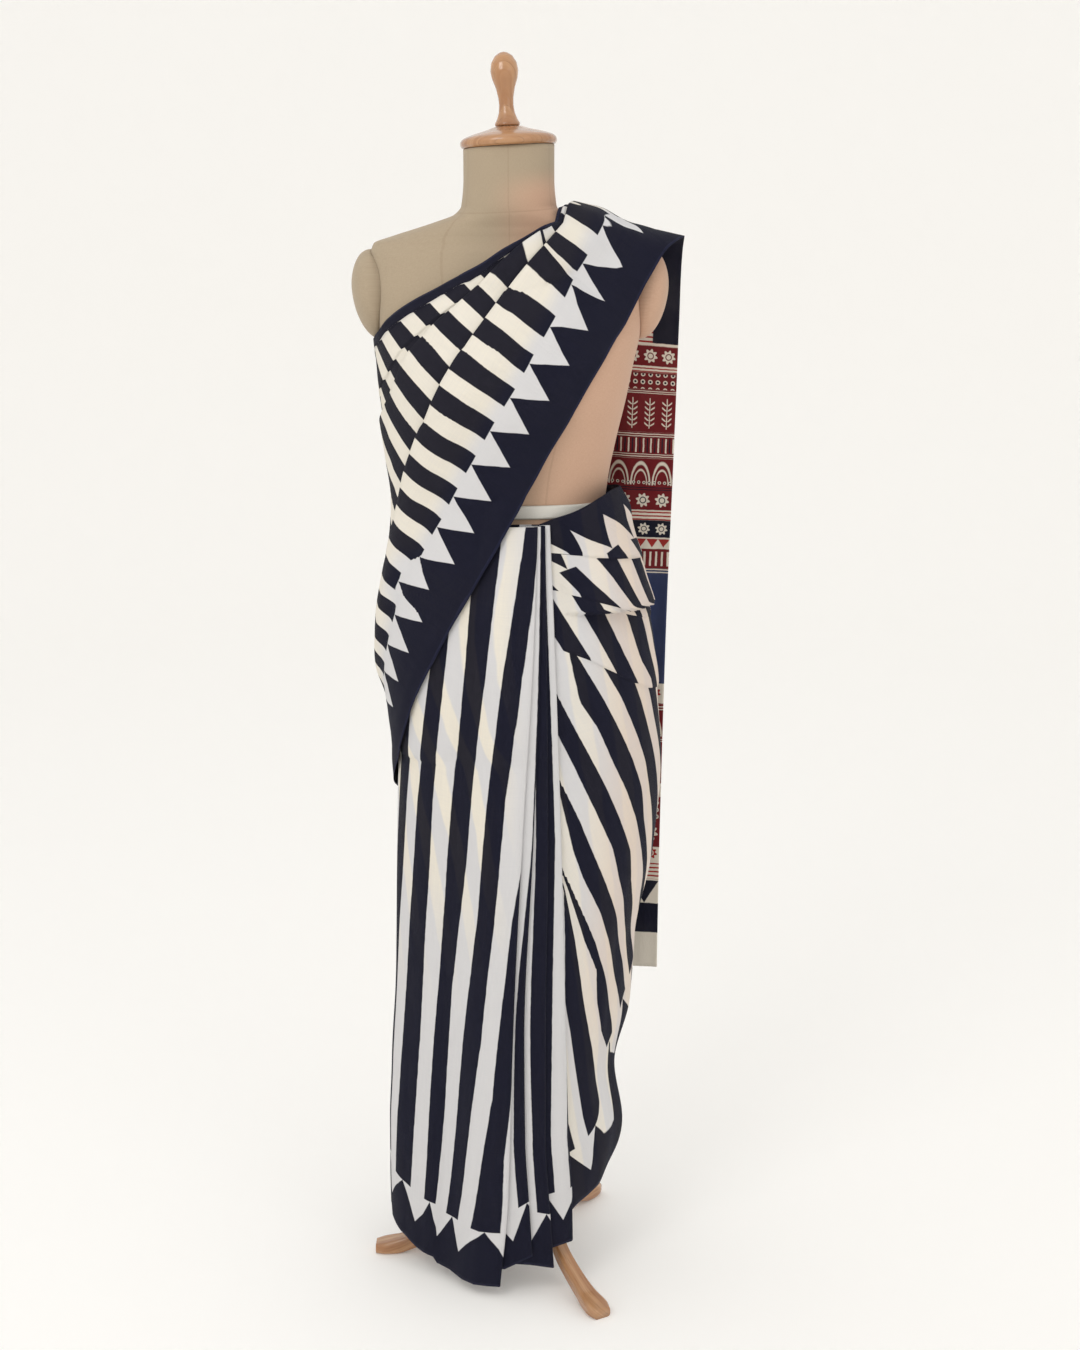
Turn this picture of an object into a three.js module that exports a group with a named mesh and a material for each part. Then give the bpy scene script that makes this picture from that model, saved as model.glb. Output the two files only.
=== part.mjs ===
// Cotton sari draped on a limbless dress form with a wooden neck cap and a tripod stand.
// Millimetres. X is the viewer's right, the form faces -Y, +Z is up and the floor is z = 0.
import * as THREE from "three";

const WALL = 1.4;
const FIT_GAP = 0.4;
const LAYER = 4.2;

// A table is its column names and its rows; at() reads a column at a height by a monotone curve.
function table(names, rows) {
  const keys = rows.map((row) => row[0]);
  const readers = {};
  names.forEach((name, i) => {
    readers[name] = monotone(
      keys,
      rows.map((row) => row[i]),
    );
  });
  return { rows, names, at: (name, key) => readers[name](key) };
}

// A monotone cubic through the points, held level past both ends.
function monotone(xs, ys) {
  const last = xs.length - 1;
  const secant = [];
  for (let i = 0; i < last; i++) {
    secant.push((ys[i + 1] - ys[i]) / (xs[i + 1] - xs[i]));
  }
  const slope = ys.map((_, i) => {
    if (i === 0) return secant[0];
    if (i === last) return secant[last - 1];
    const product = secant[i - 1] * secant[i];
    return product <= 0 ? 0 : (2 * product) / (secant[i - 1] + secant[i]);
  });
  return (x) => {
    if (x <= xs[0]) return ys[0];
    if (x >= xs[last]) return ys[last];
    let i = 0;
    while (x > xs[i + 1]) i++;
    const h = xs[i + 1] - xs[i];
    const t = (x - xs[i]) / h;
    const rise = t * t * (3 - 2 * t);
    const leave = t * (1 - t) * (1 - t) * h * slope[i];
    const arrive = t * t * (t - 1) * h * slope[i + 1];
    return ys[i] + rise * (ys[i + 1] - ys[i]) + leave + arrive;
  };
}

const mix = (a, b, t) => a + (b - a) * t;
const smooth = (a, b, x) => {
  const t = Math.min(1, Math.max(0, (x - a) / (b - a)));
  return t * t * (3 - 2 * t);
};
const rad = (degrees) => (degrees * Math.PI) / 180;
const steps = (count) => Array.from({ length: count + 1 }, (_, i) => i / count);

// The dress form: half width and front and back depth of each level section.
const FORM = table(
  ["z", "centre", "half", "front", "back"],
  [
    [735, 12, 140, 98, 98],
    [742, 12, 147, 106, 106],
    [800, 12, 155, 116, 118],
    [860, 11, 158, 118, 123],
    [920, 9, 154, 114, 116],
    [980, 6, 143, 103, 100],
    [1030, 3, 130, 92, 87],
    [1062, 2, 126, 88, 84],
    [1100, 2, 130, 92, 84],
    [1150, 3, 139, 106, 88],
    [1205, 4, 151, 123, 92],
    [1245, 5, 158, 121, 96],
    [1280, 6, 165, 107, 98],
    [1320, 6, 171, 88, 95],
    [1355, 6, 175, 72, 88],
    [1382, 6, 176, 58, 76],
    [1395, 6, 172, 50, 64],
    [1404, 6, 148, 48, 58],
    [1413, 6, 119, 48, 56],
    [1422, 6, 91, 50, 54],
    [1430, 6, 70, 52, 53],
    [1441, 5, 60, 53, 52],
    [1475, 5, 57, 52, 51],
    [1512, 5, 57, 52, 51],
  ],
);
const FORM_POWER = 2.3;
const FORM_BASE = 735;
const NECK_TOP = 1512;
const CAP_TILT = rad(3.3);

// The first turn of the skirt: radii of its middle surface round the leaning axis.
const INNER = table(
  ["z", "left", "frontLeft", "front", "frontRight", "right", "backRight", "back", "backLeft"],
  [
    [20, 152, 95, 87, 116, 116, 130, 136, 140],
    [60, 153, 96, 88, 117, 118, 134, 138, 142],
    [130, 154, 98, 89, 118, 124, 136, 138, 144],
    [205, 154, 100, 91, 118, 128, 138, 138, 144],
    [290, 151, 104, 93, 117, 128, 140, 138, 144],
    [382, 150, 109, 96, 118, 134, 142, 138, 144],
    [468, 152, 114, 100, 121, 144, 146, 140, 144],
    [596, 154, 122, 107, 129, 154, 148, 138, 142],
    [735, 152, 131, 112, 133, 157, 144, 122, 136],
    [1052, 130, 110, 92, 112, 134, 110, 88, 108],
  ],
);

// The outer turn: hip drape, back turn and bodice drape.
const OUTER = table(
  ["z", "left", "frontLeft", "front", "frontRight", "right", "backRight", "back", "backLeft"],
  [
    [60, 158, 104, 97, 122, 128, 142, 146, 150],
    [130, 160, 106, 97, 125, 141, 146, 146, 152],
    [205, 160, 108, 99, 130, 156, 152, 146, 152],
    [290, 158, 112, 101, 126, 143, 152, 146, 152],
    [382, 158, 116, 104, 128, 160, 158, 147, 152],
    [468, 160, 122, 108, 132, 160, 160, 150, 152],
    [596, 162, 130, 115, 143, 184, 166, 152, 154],
    [722, 164, 139, 123, 152, 195, 170, 150, 154],
    [804, 168, 147, 128, 156, 190, 168, 146, 153],
    [885, 165, 147, 127, 153, 185, 162, 140, 149],
    [978, 157, 138, 120, 140, 168, 142, 116, 132],
    [1070, 144, 124, 112, 120, 136, 114, 94, 112],
    [1122, 151, 129, 115, 122, 142, 114, 94, 116],
    [1199, 163, 140, 128, 142, 158, 120, 100, 126],
    [1268, 170, 138, 118, 140, 174, 130, 106, 134],
    [1330, 177, 126, 94, 126, 178, 130, 104, 136],
    [1395, 176, 90, 60, 90, 180, 110, 74, 110],
  ],
);
const COMPASS = ["front", "frontRight", "right", "backRight", "back", "backLeft", "left", "frontLeft"];

const AXIS = table(
  ["z", "x"],
  [
    [0, -6],
    [290, -5],
    [468, 5],
    [596, 10],
    [735, 12],
    [860, 11],
    [980, 6],
    [1062, 2],
    [1200, 4],
    [1320, 6],
    [1512, 5],
  ],
);

// Catmull-Rom round the eight compass radii of a table; angle 0 is the front, 90 the right.
function compassRadius(radii, angle, z) {
  const turn = (((angle / 45) % 8) + 8) % 8;
  const i = Math.floor(turn);
  const t = turn - i;
  const [a, b, c, d] = [-1, 0, 1, 2].map((k) => radii.at(COMPASS[(i + k + 8) % 8], z));
  return 0.5 * (2 * b + (c - a) * t + (2 * a - 5 * b + 4 * c - d) * t * t + (3 * b - a - 3 * c + d) * t ** 3);
}

function formRadius(angle, z) {
  const side = Math.abs(Math.sin(rad(angle))) / FORM.at("half", z);
  const depth = Math.cos(rad(angle)) > 0 ? "front" : "back";
  const along = Math.abs(Math.cos(rad(angle))) / FORM.at(depth, z);
  return (side ** FORM_POWER + along ** FORM_POWER) ** (-1 / FORM_POWER);
}

function innerRadius(angle, z) {
  const shaped = compassRadius(INNER, angle, z);
  return z < FORM_BASE ? shaped : Math.max(shaped, formRadius(angle, z) + LAYER);
}

const polar = (angle, radius, z) =>
  new THREE.Vector3(AXIS.at("x", z) + radius * Math.sin(rad(angle)), -radius * Math.cos(rad(angle)), z);

// Folds of the centre pleats: x of each visible fold edge, from the leading one to the last.
const FOLDS = table(
  ["z", "lead", "second", "third", "last"],
  [
    [20, -10, 36, 64, 89],
    [140, 1, 29, 56, 87],
    [230, 4, 24, 51, 82],
    [372, 8, 23, 51, 78],
    [645, 21, 35, 54, 71],
    [906, 36, 44, 52, 62],
    [1052, 41, 46, 50, 56],
  ],
);
const FOLD_NAMES = ["lead", "second", "third", "last"];
const TUCK_Z = 1050;
const PLEAT_LAYERS = 7;
const pleatPitch = (z) => mix(3.5, 2.5, smooth(300, 1000, z));
const pleatTop = (z) => 2 * LAYER + PLEAT_LAYERS * pleatPitch(z);

// How far the front-left panel stands off the first turn at x.
function panelOffset(x, z) {
  const lead = FOLDS.at("lead", z);
  return mix(LAYER, pleatTop(z), smooth(lead - 88, lead - 36, x));
}

// The outer turn clears the form, the first turn and, in front, the panel with its pleats.
function outerRadius(angle, z) {
  const shaped = compassRadius(OUTER, angle, z);
  const above = smooth(TUCK_Z + 10, TUCK_Z + 70, z);
  const front = Math.cos(rad(angle)) > 0;
  const onPanel = Math.sin(rad(angle)) < 0 || (front && z > 940);
  const under = innerRadius(angle, z);
  const x = AXIS.at("x", z) + under * Math.sin(rad(angle));
  const cover = onPanel ? 1.8 + (front ? panelOffset(x, z) : LAYER) : 0;
  return Math.max(shaped, under + (cover + LAYER) * (1 - above));
}

// The angle at which a surface of this radius reaches x on the front half.
function angleAt(x, z, radiusAt) {
  let low = -90;
  let high = 90;
  for (let i = 0; i < 30; i++) {
    const middle = (low + high) / 2;
    if (polar(middle, radiusAt(middle, z), z).x < x) low = middle;
    else high = middle;
  }
  return (low + high) / 2;
}

// A closed solid from a grid of middle-surface points: rows run one way, columns the other.
function sheetSolid(grid, wall, ringed = false) {
  const rows = grid.length;
  const columns = grid[0].length;
  const wrap = (j) => (ringed ? (j + columns) % columns : Math.min(columns - 1, Math.max(0, j)));
  const hold = (i) => Math.min(rows - 1, Math.max(0, i));
  const points = [];
  for (const sign of [0.5, -0.5]) {
    for (let i = 0; i < rows; i++) {
      for (let j = 0; j < columns; j++) {
        const along = grid[i][wrap(j + 1)].clone().sub(grid[i][wrap(j - 1)]).normalize();
        const down = grid[hold(i + 1)][j].clone().sub(grid[hold(i - 1)][j]).normalize();
        const normal = along.cross(down).normalize();
        points.push(grid[i][j].clone().addScaledVector(normal, sign * wall));
      }
    }
  }
  const back = rows * columns;
  const faces = [];
  const quad = (a, b, c, d) => faces.push(a, b, c, a, c, d);
  const spans = ringed ? columns : columns - 1;
  for (let i = 0; i < rows - 1; i++) {
    for (let j = 0; j < spans; j++) {
      const a = i * columns + j;
      const b = i * columns + wrap(j + 1);
      const c = b + columns;
      const d = a + columns;
      quad(a, b, c, d);
      quad(back + a, back + d, back + c, back + b);
    }
  }
  for (let j = 0; j < spans; j++) {
    const top = [j, wrap(j + 1)];
    const low = top.map((k) => (rows - 1) * columns + k);
    quad(top[1], top[0], back + top[0], back + top[1]);
    quad(low[0], low[1], back + low[1], back + low[0]);
  }
  for (let i = 0; i < rows - 1 && !ringed; i++) {
    const first = [i * columns, (i + 1) * columns];
    const last = first.map((k) => k + columns - 1);
    quad(first[0], first[1], back + first[1], back + first[0]);
    quad(last[1], last[0], back + last[0], back + last[1]);
  }
  return solid(points, faces);
}

// A loft of rings closed by a fan at each end, for the form, the arm caps and the legs.
function ringSolid(rings) {
  const count = rings[0].length;
  const points = rings.flat();
  const faces = [];
  for (let i = 0; i < rings.length - 1; i++) {
    for (let j = 0; j < count; j++) {
      const k = (j + 1) % count;
      const [a, b] = [i * count + j, i * count + k];
      faces.push(a, b, b + count, a, b + count, a + count);
    }
  }
  for (const [ring, flip] of [
    [0, true],
    [rings.length - 1, false],
  ]) {
    const middle = rings[ring].reduce((sum, p) => sum.add(p), new THREE.Vector3()).divideScalar(count);
    const hub = points.push(middle) - 1;
    for (let j = 0; j < count; j++) {
      const a = ring * count + j;
      const b = ring * count + ((j + 1) % count);
      if (flip) faces.push(hub, b, a);
      else faces.push(hub, a, b);
    }
  }
  return solid(points, faces);
}

function solid(points, faces) {
  const geometry = new THREE.BufferGeometry();
  geometry.setAttribute("position", new THREE.Float32BufferAttribute(points.flatMap((p) => [p.x, p.y, p.z]), 3));
  let volume = 0;
  for (let i = 0; i < faces.length; i += 3) {
    const [a, b, c] = [points[faces[i]], points[faces[i + 1]], points[faces[i + 2]]];
    volume += a.dot(b.clone().cross(c));
  }
  const outward = volume > 0 ? faces : faces.slice().reverse();
  geometry.setIndex(outward);
  geometry.computeVertexNormals();
  return geometry;
}

const group = new THREE.Group();
const MATERIALS = {
  linen: new THREE.MeshStandardMaterial({ color: 0xb9a587, roughness: 0.9 }),
  wood: new THREE.MeshStandardMaterial({ color: 0xc99b6a, roughness: 0.35 }),
  tape: new THREE.MeshStandardMaterial({ color: 0xe8e4da, roughness: 0.8 }),
  cotton: new THREE.MeshStandardMaterial({ color: 0x9a9aa2, roughness: 0.85 }),
  pallu: new THREE.MeshStandardMaterial({ color: 0x8c3038, roughness: 0.85 }),
};

function add(name, geometry, material) {
  const mesh = new THREE.Mesh(geometry, MATERIALS[material]);
  mesh.name = name;
  group.add(mesh);
  return mesh;
}

// Dress form
const FORM_SIDES = 32;
function formRing(z, tilt = 0) {
  return Array.from({ length: FORM_SIDES }, (_, j) => {
    const point = polar((360 * j) / FORM_SIDES, 0, z);
    const angle = (360 * j) / FORM_SIDES;
    point.x = FORM.at("centre", z) + formRadius(angle, z) * Math.sin(rad(angle));
    point.y = -formRadius(angle, z) * Math.cos(rad(angle));
    point.z = z + tilt * (point.x - FORM.at("centre", z));
    return point;
  });
}
const formHeights = FORM.rows.map((row) => row[0]);
add(
  "form_torso",
  ringSolid(formHeights.map((z) => formRing(z, z === NECK_TOP ? Math.tan(CAP_TILT) : 0))),
  "linen",
);

// Arm caps: oval domes on the cut shoulders.
const ARM_CAP = { gap: 1.9, sides: 16, rise: 26, z: 1332, halfHeight: 56, halfDepth: 42 };
function armCap(side) {
  const seat = (z) => FORM.at("centre", z) + side * (FORM.at("half", z) + ARM_CAP.gap);
  return [0, 0.3, 0.6, 0.85, 0.97].map((t) =>
    Array.from({ length: ARM_CAP.sides }, (_, j) => {
      const turn = (2 * Math.PI * j) / ARM_CAP.sides;
      const scale = Math.sqrt(1 - t * t);
      const z = ARM_CAP.z + ARM_CAP.halfHeight * scale * Math.sin(turn);
      const y = 6 + ARM_CAP.halfDepth * scale * Math.cos(turn);
      return new THREE.Vector3(seat(z) + side * ARM_CAP.rise * t, y, z);
    }),
  );
}
add("arm_cap_left", ringSolid(armCap(-1)), "linen");
add("arm_cap_right", ringSolid(armCap(1)), "linen");

// Turned wood on the neck: a domed cap and a finial, tilted together.
const CAP_PROFILE = [
  [0, 0],
  [57, 0],
  [60, 2],
  [61, 6],
  [60, 10],
  [56, 13],
  [44, 17],
  [28, 21],
  [16, 25],
  [0, 25],
];
const FINIAL_PROFILE = [
  [0, 0],
  [15.5, 0],
  [16, 3],
  [13, 8],
  [10, 16],
  [9, 25],
  [9.5, 34],
  [12, 46],
  [16, 57],
  [17.5, 66],
  [16, 76],
  [11, 84],
  [5, 88],
  [0, 89],
];
function turned(profile, sides) {
  const outline = profile.map(([r, z]) => new THREE.Vector2(r, z));
  return new THREE.LatheGeometry(outline, sides).rotateX(Math.PI / 2);
}
function onNeck(geometry, lift) {
  geometry.translate(0, 0, lift);
  geometry.rotateY(-CAP_TILT);
  return geometry.translate(FORM.at("centre", NECK_TOP), 0, NECK_TOP);
}
add("neck_cap", onNeck(turned(CAP_PROFILE, 28), FIT_GAP), "wood");
add("finial", onNeck(turned(FINIAL_PROFILE, 20), 25 + 2 * FIT_GAP), "wood");

// Waist tape
const TAPE = { low: 1056, high: 1073, thick: 1 };
const tapeGrid = [TAPE.high, TAPE.low].map((z) =>
  Array.from({ length: 40 }, (_, j) => {
    const waist = Math.max(formRadius(9 * j, TAPE.low), formRadius(9 * j, TAPE.high));
    const radius = waist + 3.6 * FIT_GAP + TAPE.thick / 2;
    return polar(9 * j, radius, z);
  }),
);
add("waist_tape", sheetSolid(tapeGrid, TAPE.thick, true), "tape");

// Stand
const POST = { x: 22, y: 14, radius: 15, hub: 23, hubLow: 136, hubHigh: 226 };
const post = new THREE.CylinderGeometry(POST.radius, POST.radius, FORM_BASE - POST.hubHigh - 2 * FIT_GAP, 20);
post.rotateX(Math.PI / 2);
post.translate(POST.x, POST.y, (FORM_BASE + POST.hubHigh) / 2);
add("stand_post", post, "wood");
const HUB_PROFILE = [
  [0, 0],
  [8, 0],
  [15, 6],
  [POST.hub, 14],
  [POST.hub, 78],
  [19, 86],
  [17, 90],
  [0, 90],
];
add("stand_hub", turned(HUB_PROFILE, 24).translate(POST.x, POST.y, POST.hubLow), "wood");

// Legs: half sizes of each cross-section along the leg; the pad at the end lies flat on the floor.
const LEG = table(
  ["reach", "z", "tall", "wide"],
  [
    [23.5, 192, 24, 8],
    [40, 170, 20, 9.5],
    [62, 122, 17, 10],
    [82, 76, 14, 10],
    [102, 46, 12, 10],
    [128, 30, 11, 10.5],
    [158, 17, 11, 11.5],
    [178, 10.5, 10.5, 14],
    [196, 8.5, 8.5, 16],
    [210, 7, 7, 12],
  ],
);
const LEG_ANGLES = { leg_front: 30, leg_back: 150, leg_left: -90 };
function legRing([reach, z, tall, wide], turn) {
  return Array.from({ length: 12 }, (_, j) => {
    const a = (2 * Math.PI * j) / 12;
    const across = wide * Math.sign(Math.sin(a)) * Math.abs(Math.sin(a)) ** 0.6;
    const up = tall * Math.sign(Math.cos(a)) * Math.min(1, 1.12 * Math.abs(Math.cos(a)) ** 0.6);
    const out = new THREE.Vector3(Math.sin(turn), -Math.cos(turn), 0);
    const side = new THREE.Vector3(Math.cos(turn), Math.sin(turn), 0);
    return new THREE.Vector3(POST.x, POST.y, z + up).addScaledVector(out, reach).addScaledVector(side, across);
  });
}
for (const [name, angle] of Object.entries(LEG_ANGLES)) {
  add(name, ringSolid(LEG.rows.map((row) => legRing(row, rad(angle)))), "wood");
}

// Heights of the rows of a skirt piece that ends at this hem, dense over the hips.
const LEVELS = [1050, 1005, 960, 915, 870, 820, 770, 725, 640, 540, 440, 340, 245];
const BELOW = [0.36, 0.7, 1];
function levels(hem) {
  return [...LEVELS, ...BELOW.map((t) => mix(LEVELS[LEVELS.length - 1], hem, t))];
}

// First turn of the skirt: starts hidden at the front left, goes round by the right and the back.
const WRAP = { from: -74, to: 250, columns: 32 };
const WRAP_HEM = table(
  ["angle", "z"],
  [
    [-74, 90],
    [0, 95],
    [40, 125],
    [90, 150],
    [135, 130],
    [180, 110],
    [250, 84],
  ],
);
const wrapGrid = levels(0).map((_, i) =>
  steps(WRAP.columns).map((s) => {
    const angle = mix(WRAP.from, WRAP.to, s);
    const z = levels(WRAP_HEM.at("z", angle))[i];
    const wave = 2.2 * smooth(700, 200, z) * Math.sin(rad(angle * 6)) * smooth(60, 110, angle);
    const radius = innerRadius(angle, z) + LAYER * smooth(150, 235, angle) + Math.min(0, wave);
    return polar(angle, radius, z);
  }),
);
add("skirt_wrap", sheetSolid(wrapGrid, WALL), "cotton");

// Front panel and centre pleats: one strip that folds under at each fold edge.
const PANEL_START = -109.7;
const PANEL_ANGLES = [0, 0.14, 0.28, 0.42, 0.56, 0.7, 0.84, 0.95];
const HIDDEN = table(
  ["z", "under"],
  [
    [20, 34],
    [600, 30],
    [1052, 24],
  ],
);
const PANEL_HEM = table(
  ["x", "z"],
  [
    [-165, 80],
    [-159, 53],
    [-146, 34],
    [-96, 23],
    [-47, 17],
    [-10, 18],
  ],
);
const STRIP_HEM = { second: [40, 62], third: [46, 40], last: [66, 70] };

// Stations of the strip at height z: each gives x and the offset from the first turn.
function pleatStations(z) {
  const pitch = pleatPitch(z);
  const under = HIDDEN.at("under", z);
  const edges = FOLD_NAMES.map((name) => FOLDS.at(name, z));
  const level = (layer) => 2 * LAYER + layer * pitch;
  const stations = [];
  [-88, -70, -52, -36, -18].forEach((back) => {
    const x = edges[0] + back;
    stations.push({ x, offset: panelOffset(x, z), strip: "lead" });
  });
  edges.forEach((edge, k) => {
    const over = PLEAT_LAYERS - 2 * k;
    const strip = FOLD_NAMES[k];
    const left = edges[Math.max(0, Math.min(k, edges.length - 2))] - under;
    const middle = (left + edge) / 2;
    stations.push({ x: edge - 1.2, offset: level(over), strip });
    stations.push({ x: edge, offset: level(over - 0.5), strip });
    stations.push({ x: edge - 1.2, offset: level(over - 1), strip });
    stations.push({ x: middle, offset: level(over - 1), strip });
    stations.push({ x: left + 1.2, offset: level(over - 1), strip });
    if (k === edges.length - 1) return;
    const nextStrip = FOLD_NAMES[k + 1];
    const nextMiddle = (left + edges[k + 1]) / 2;
    stations.push({ x: left, offset: level(over - 1.5), strip: nextStrip });
    stations.push({ x: left + 1.2, offset: level(over - 2), strip: nextStrip });
    stations.push({ x: nextMiddle, offset: level(over - 2), strip: nextStrip });
  });
  return stations;
}

function hemAt(station) {
  if (station.strip === "lead") return PANEL_HEM.at("z", station.x);
  const [low, high] = STRIP_HEM[station.strip];
  const edges = FOLD_NAMES.map((name) => FOLDS.at(name, 20));
  const k = FOLD_NAMES.indexOf(station.strip);
  return mix(low, high, smooth(edges[k - 1], edges[k], station.x));
}

// The plain part of the panel: from behind the left side to where the pleats start to rise.
function panelPoint(i, s) {
  const offset = (a, z) => innerRadius(a, z) + LAYER;
  const joint = (z) => angleAt(FOLDS.at("lead", z) - 88, z, offset);
  const foot = polar(mix(PANEL_START, joint(40), s), 156, 40);
  const hem = foot.y > 0 ? mix(80, 84, Math.min(1, foot.y / 50)) : PANEL_HEM.at("z", foot.x);
  const z = levels(hem)[i];
  const angle = mix(PANEL_START, joint(z), s);
  return polar(angle, offset(angle, z), z);
}

const hemStations = pleatStations(40);
const pleatGrid = levels(0).map((_, i) => {
  const row = PANEL_ANGLES.map((s) => panelPoint(i, s));
  hemStations.forEach((foot, j) => {
    const z = levels(hemAt(foot))[i];
    const station = pleatStations(z)[j];
    const reach = (a, height) => innerRadius(a, height) + station.offset;
    const angle = angleAt(station.x, z, reach);
    row.push(polar(angle, reach(angle, z), z));
  });
  return row;
});
add("front_pleats", sheetSolid(pleatGrid, WALL), "cotton");

// Outer turn: from under the pleats round the right hip and the back to the left side.
const DRAPE = { from: 15, to: 245, columns: 34, rows: 18 };
const DRAPE_EDGES = table(
  ["angle", "low", "high"],
  [
    [15, 78, 1045],
    [38, 98, 1062],
    [55, 118, 1082],
    [72, 130, 1091],
    [86, 168, 1090],
    [98, 250, 1088],
    [108, 345, 1084],
    [122, 412, 1078],
    [150, 468, 1072],
    [180, 520, 1070],
    [215, 590, 1096],
    [245, 652, 1190],
  ],
);
// Tucks across the hip: height of the fold line at two places and how far it stands out.
const TUCKS = [
  { nearZ: 1017, farZ: 1002, out: 3.4 },
  { nearZ: 972, farZ: 922, out: 2.6 },
  { nearZ: 898, farZ: 828, out: 2.6 },
];
function tuckOut(angle, z) {
  const along = smooth(20, 85, angle);
  const fade = 1 - smooth(85, 120, angle);
  return TUCKS.reduce((sum, tuck) => {
    const line = mix(tuck.nearZ, tuck.farZ, along);
    return sum + tuck.out * smooth(line - 5, line + 4, z) * (1 - smooth(line + 12, line + 60, z)) * fade;
  }, 0);
}
const DRAPE_WAVE = 3.5;
const drapeGrid = steps(DRAPE.rows).map((t) =>
  steps(DRAPE.columns).map((s) => {
    const angle = mix(DRAPE.from, DRAPE.to, s);
    const z = mix(DRAPE_EDGES.at("high", angle), DRAPE_EDGES.at("low", angle), t);
    const last = FOLDS.at("last", z);
    const free = angleAt(last, z, (a, h) => innerRadius(a, h) + 2 * LAYER) + 2;
    const shown = smooth(free, free + 24, angle);
    const loose = smooth(760, 420, z) * smooth(48, 75, angle) * (1 - smooth(210, 240, angle));
    const wave = DRAPE_WAVE * loose * (1 + Math.sin(rad(angle * 9 - z * 0.1)));
    const open = outerRadius(angle, z) + tuckOut(angle, z) + wave;
    return polar(angle, mix(innerRadius(angle, z) + LAYER, open, shown), z);
  }),
);
add("hip_drape", sheetSolid(drapeGrid, WALL), "cotton");

// Bodice drape: each row is a rib from the lower edge over two fold edges to the upper edge.
// A row with a turn lies at that angle on the side of the form; the others are read by x.
const RIBS = [
  { turn: -114.5, edge: 652, main: 856, next: 1084, upper: 1190 },
  { turn: -102, edge: 676, main: 868, next: 1100, upper: 1240 },
  { turn: -91, edge: 694, main: 884, next: 1113, upper: 1266 },
  { edge: [-134, 770], main: [-152, 960], next: [-160, 1160], upper: [-170, 1270] },
  { edge: [-116, 825], main: [-142, 1010], next: [-150, 1190], upper: [-166, 1276] },
  { edge: [-93, 873], main: [-130, 1064], next: [-140, 1210], upper: [-158, 1288] },
  { edge: [-65, 927], main: [-119, 1118], next: [-131, 1232], upper: [-144, 1304] },
  { edge: [-36, 977], main: [-105, 1159], next: [-122, 1253], upper: [-128, 1316] },
  { edge: [-10, 1022], main: [-88, 1197], next: [-104, 1276], upper: [-106, 1329] },
  { edge: [16, 1067], main: [-70, 1234], next: [-84, 1297], upper: [-82, 1341] },
  { edge: [42, 1114], main: [-48, 1266], next: [-60, 1318], upper: [-56, 1355] },
  { edge: [68, 1160], main: [-24, 1300], next: [-34, 1341], upper: [-28, 1370] },
  { edge: [93, 1203], main: [0, 1333], next: [-10, 1366], upper: [-2, 1387] },
  { edge: [120, 1248], main: [24, 1364], next: [18, 1391], upper: [26, 1402] },
  { edge: [150, 1296], main: [48, 1392], next: [44, 1409], upper: [50, 1416] },
];
const DRAPE_LAYERS = 4;
const UNDER_MAIN = 26;
const UNDER_NEXT = 20;

// Stations of a rib: distance along it from the lower edge and the layer it lies in.
function accordion(lengths, pitch) {
  const [main, next, upper] = lengths;
  const under = Math.min(UNDER_MAIN, main * 0.3);
  const tuck = Math.min(UNDER_NEXT, next - main + 12);
  const stations = [];
  const ramp = main - Math.min(80, main * 0.55);
  [0, 0.2, 0.4, 0.6, 0.8].forEach((t) => stations.push([ramp * t, 0]));
  const climb = main - under - 5;
  [0, 0.35, 0.7].forEach((t) => {
    const d = mix(ramp, climb, t);
    stations.push([d, DRAPE_LAYERS * smooth(ramp, climb, d)]);
  });
  stations.push([climb, DRAPE_LAYERS], [main - 1.2, DRAPE_LAYERS], [main, DRAPE_LAYERS - 0.5]);
  stations.push([main - 1.2, DRAPE_LAYERS - 1], [main - under + 1.2, DRAPE_LAYERS - 1]);
  stations.push([main - under, DRAPE_LAYERS - 1.5], [main - under + 1.2, DRAPE_LAYERS - 2]);
  stations.push([next - 1.2, DRAPE_LAYERS - 2], [next, DRAPE_LAYERS - 2.5], [next - 1.2, DRAPE_LAYERS - 3]);
  stations.push([next - tuck + 1.2, DRAPE_LAYERS - 3], [next - tuck, DRAPE_LAYERS - 3.5]);
  stations.push([next - tuck + 1.2, 0], [mix(next, upper, 0.35), 0], [upper, 0]);
  return stations.map(([distance, layer]) => ({ distance, lift: layer * pitch }));
}

function chartPoint(x, z) {
  return { angle: angleAt(x, z, outerRadius), z };
}
function surfacePoint({ angle, z }) {
  return polar(angle, outerRadius(angle, z), z);
}
function surfaceNormal({ angle, z }) {
  const around = surfacePoint({ angle: angle + 1, z }).sub(surfacePoint({ angle: angle - 1, z }));
  const up = surfacePoint({ angle, z: z + 3 }).sub(surfacePoint({ angle, z: z - 3 }));
  return around.cross(up).normalize();
}

function ribCorners(rib) {
  return ["edge", "main", "next", "upper"].map((name) =>
    rib.turn === undefined ? chartPoint(...rib[name]) : { angle: rib.turn, z: rib[name] },
  );
}

// A rib as a curve: points and normals by distance along its three straight chart spans.
function chartRib(corners) {
  const places = corners.map(surfacePoint);
  const reach = [0];
  for (let k = 1; k < 4; k++) reach.push(reach[k - 1] + places[k].distanceTo(places[k - 1]));
  const read = (distance) => {
    let k = 0;
    while (k < 2 && distance > reach[k + 1]) k++;
    const t = (distance - reach[k]) / (reach[k + 1] - reach[k]);
    return { angle: mix(corners[k].angle, corners[k + 1].angle, t), z: mix(corners[k].z, corners[k + 1].z, t) };
  };
  return {
    lengths: reach.slice(1),
    place: (distance, lift) => {
      const spot = read(distance);
      return surfacePoint(spot).addScaledVector(surfaceNormal(spot), lift);
    },
  };
}

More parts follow.
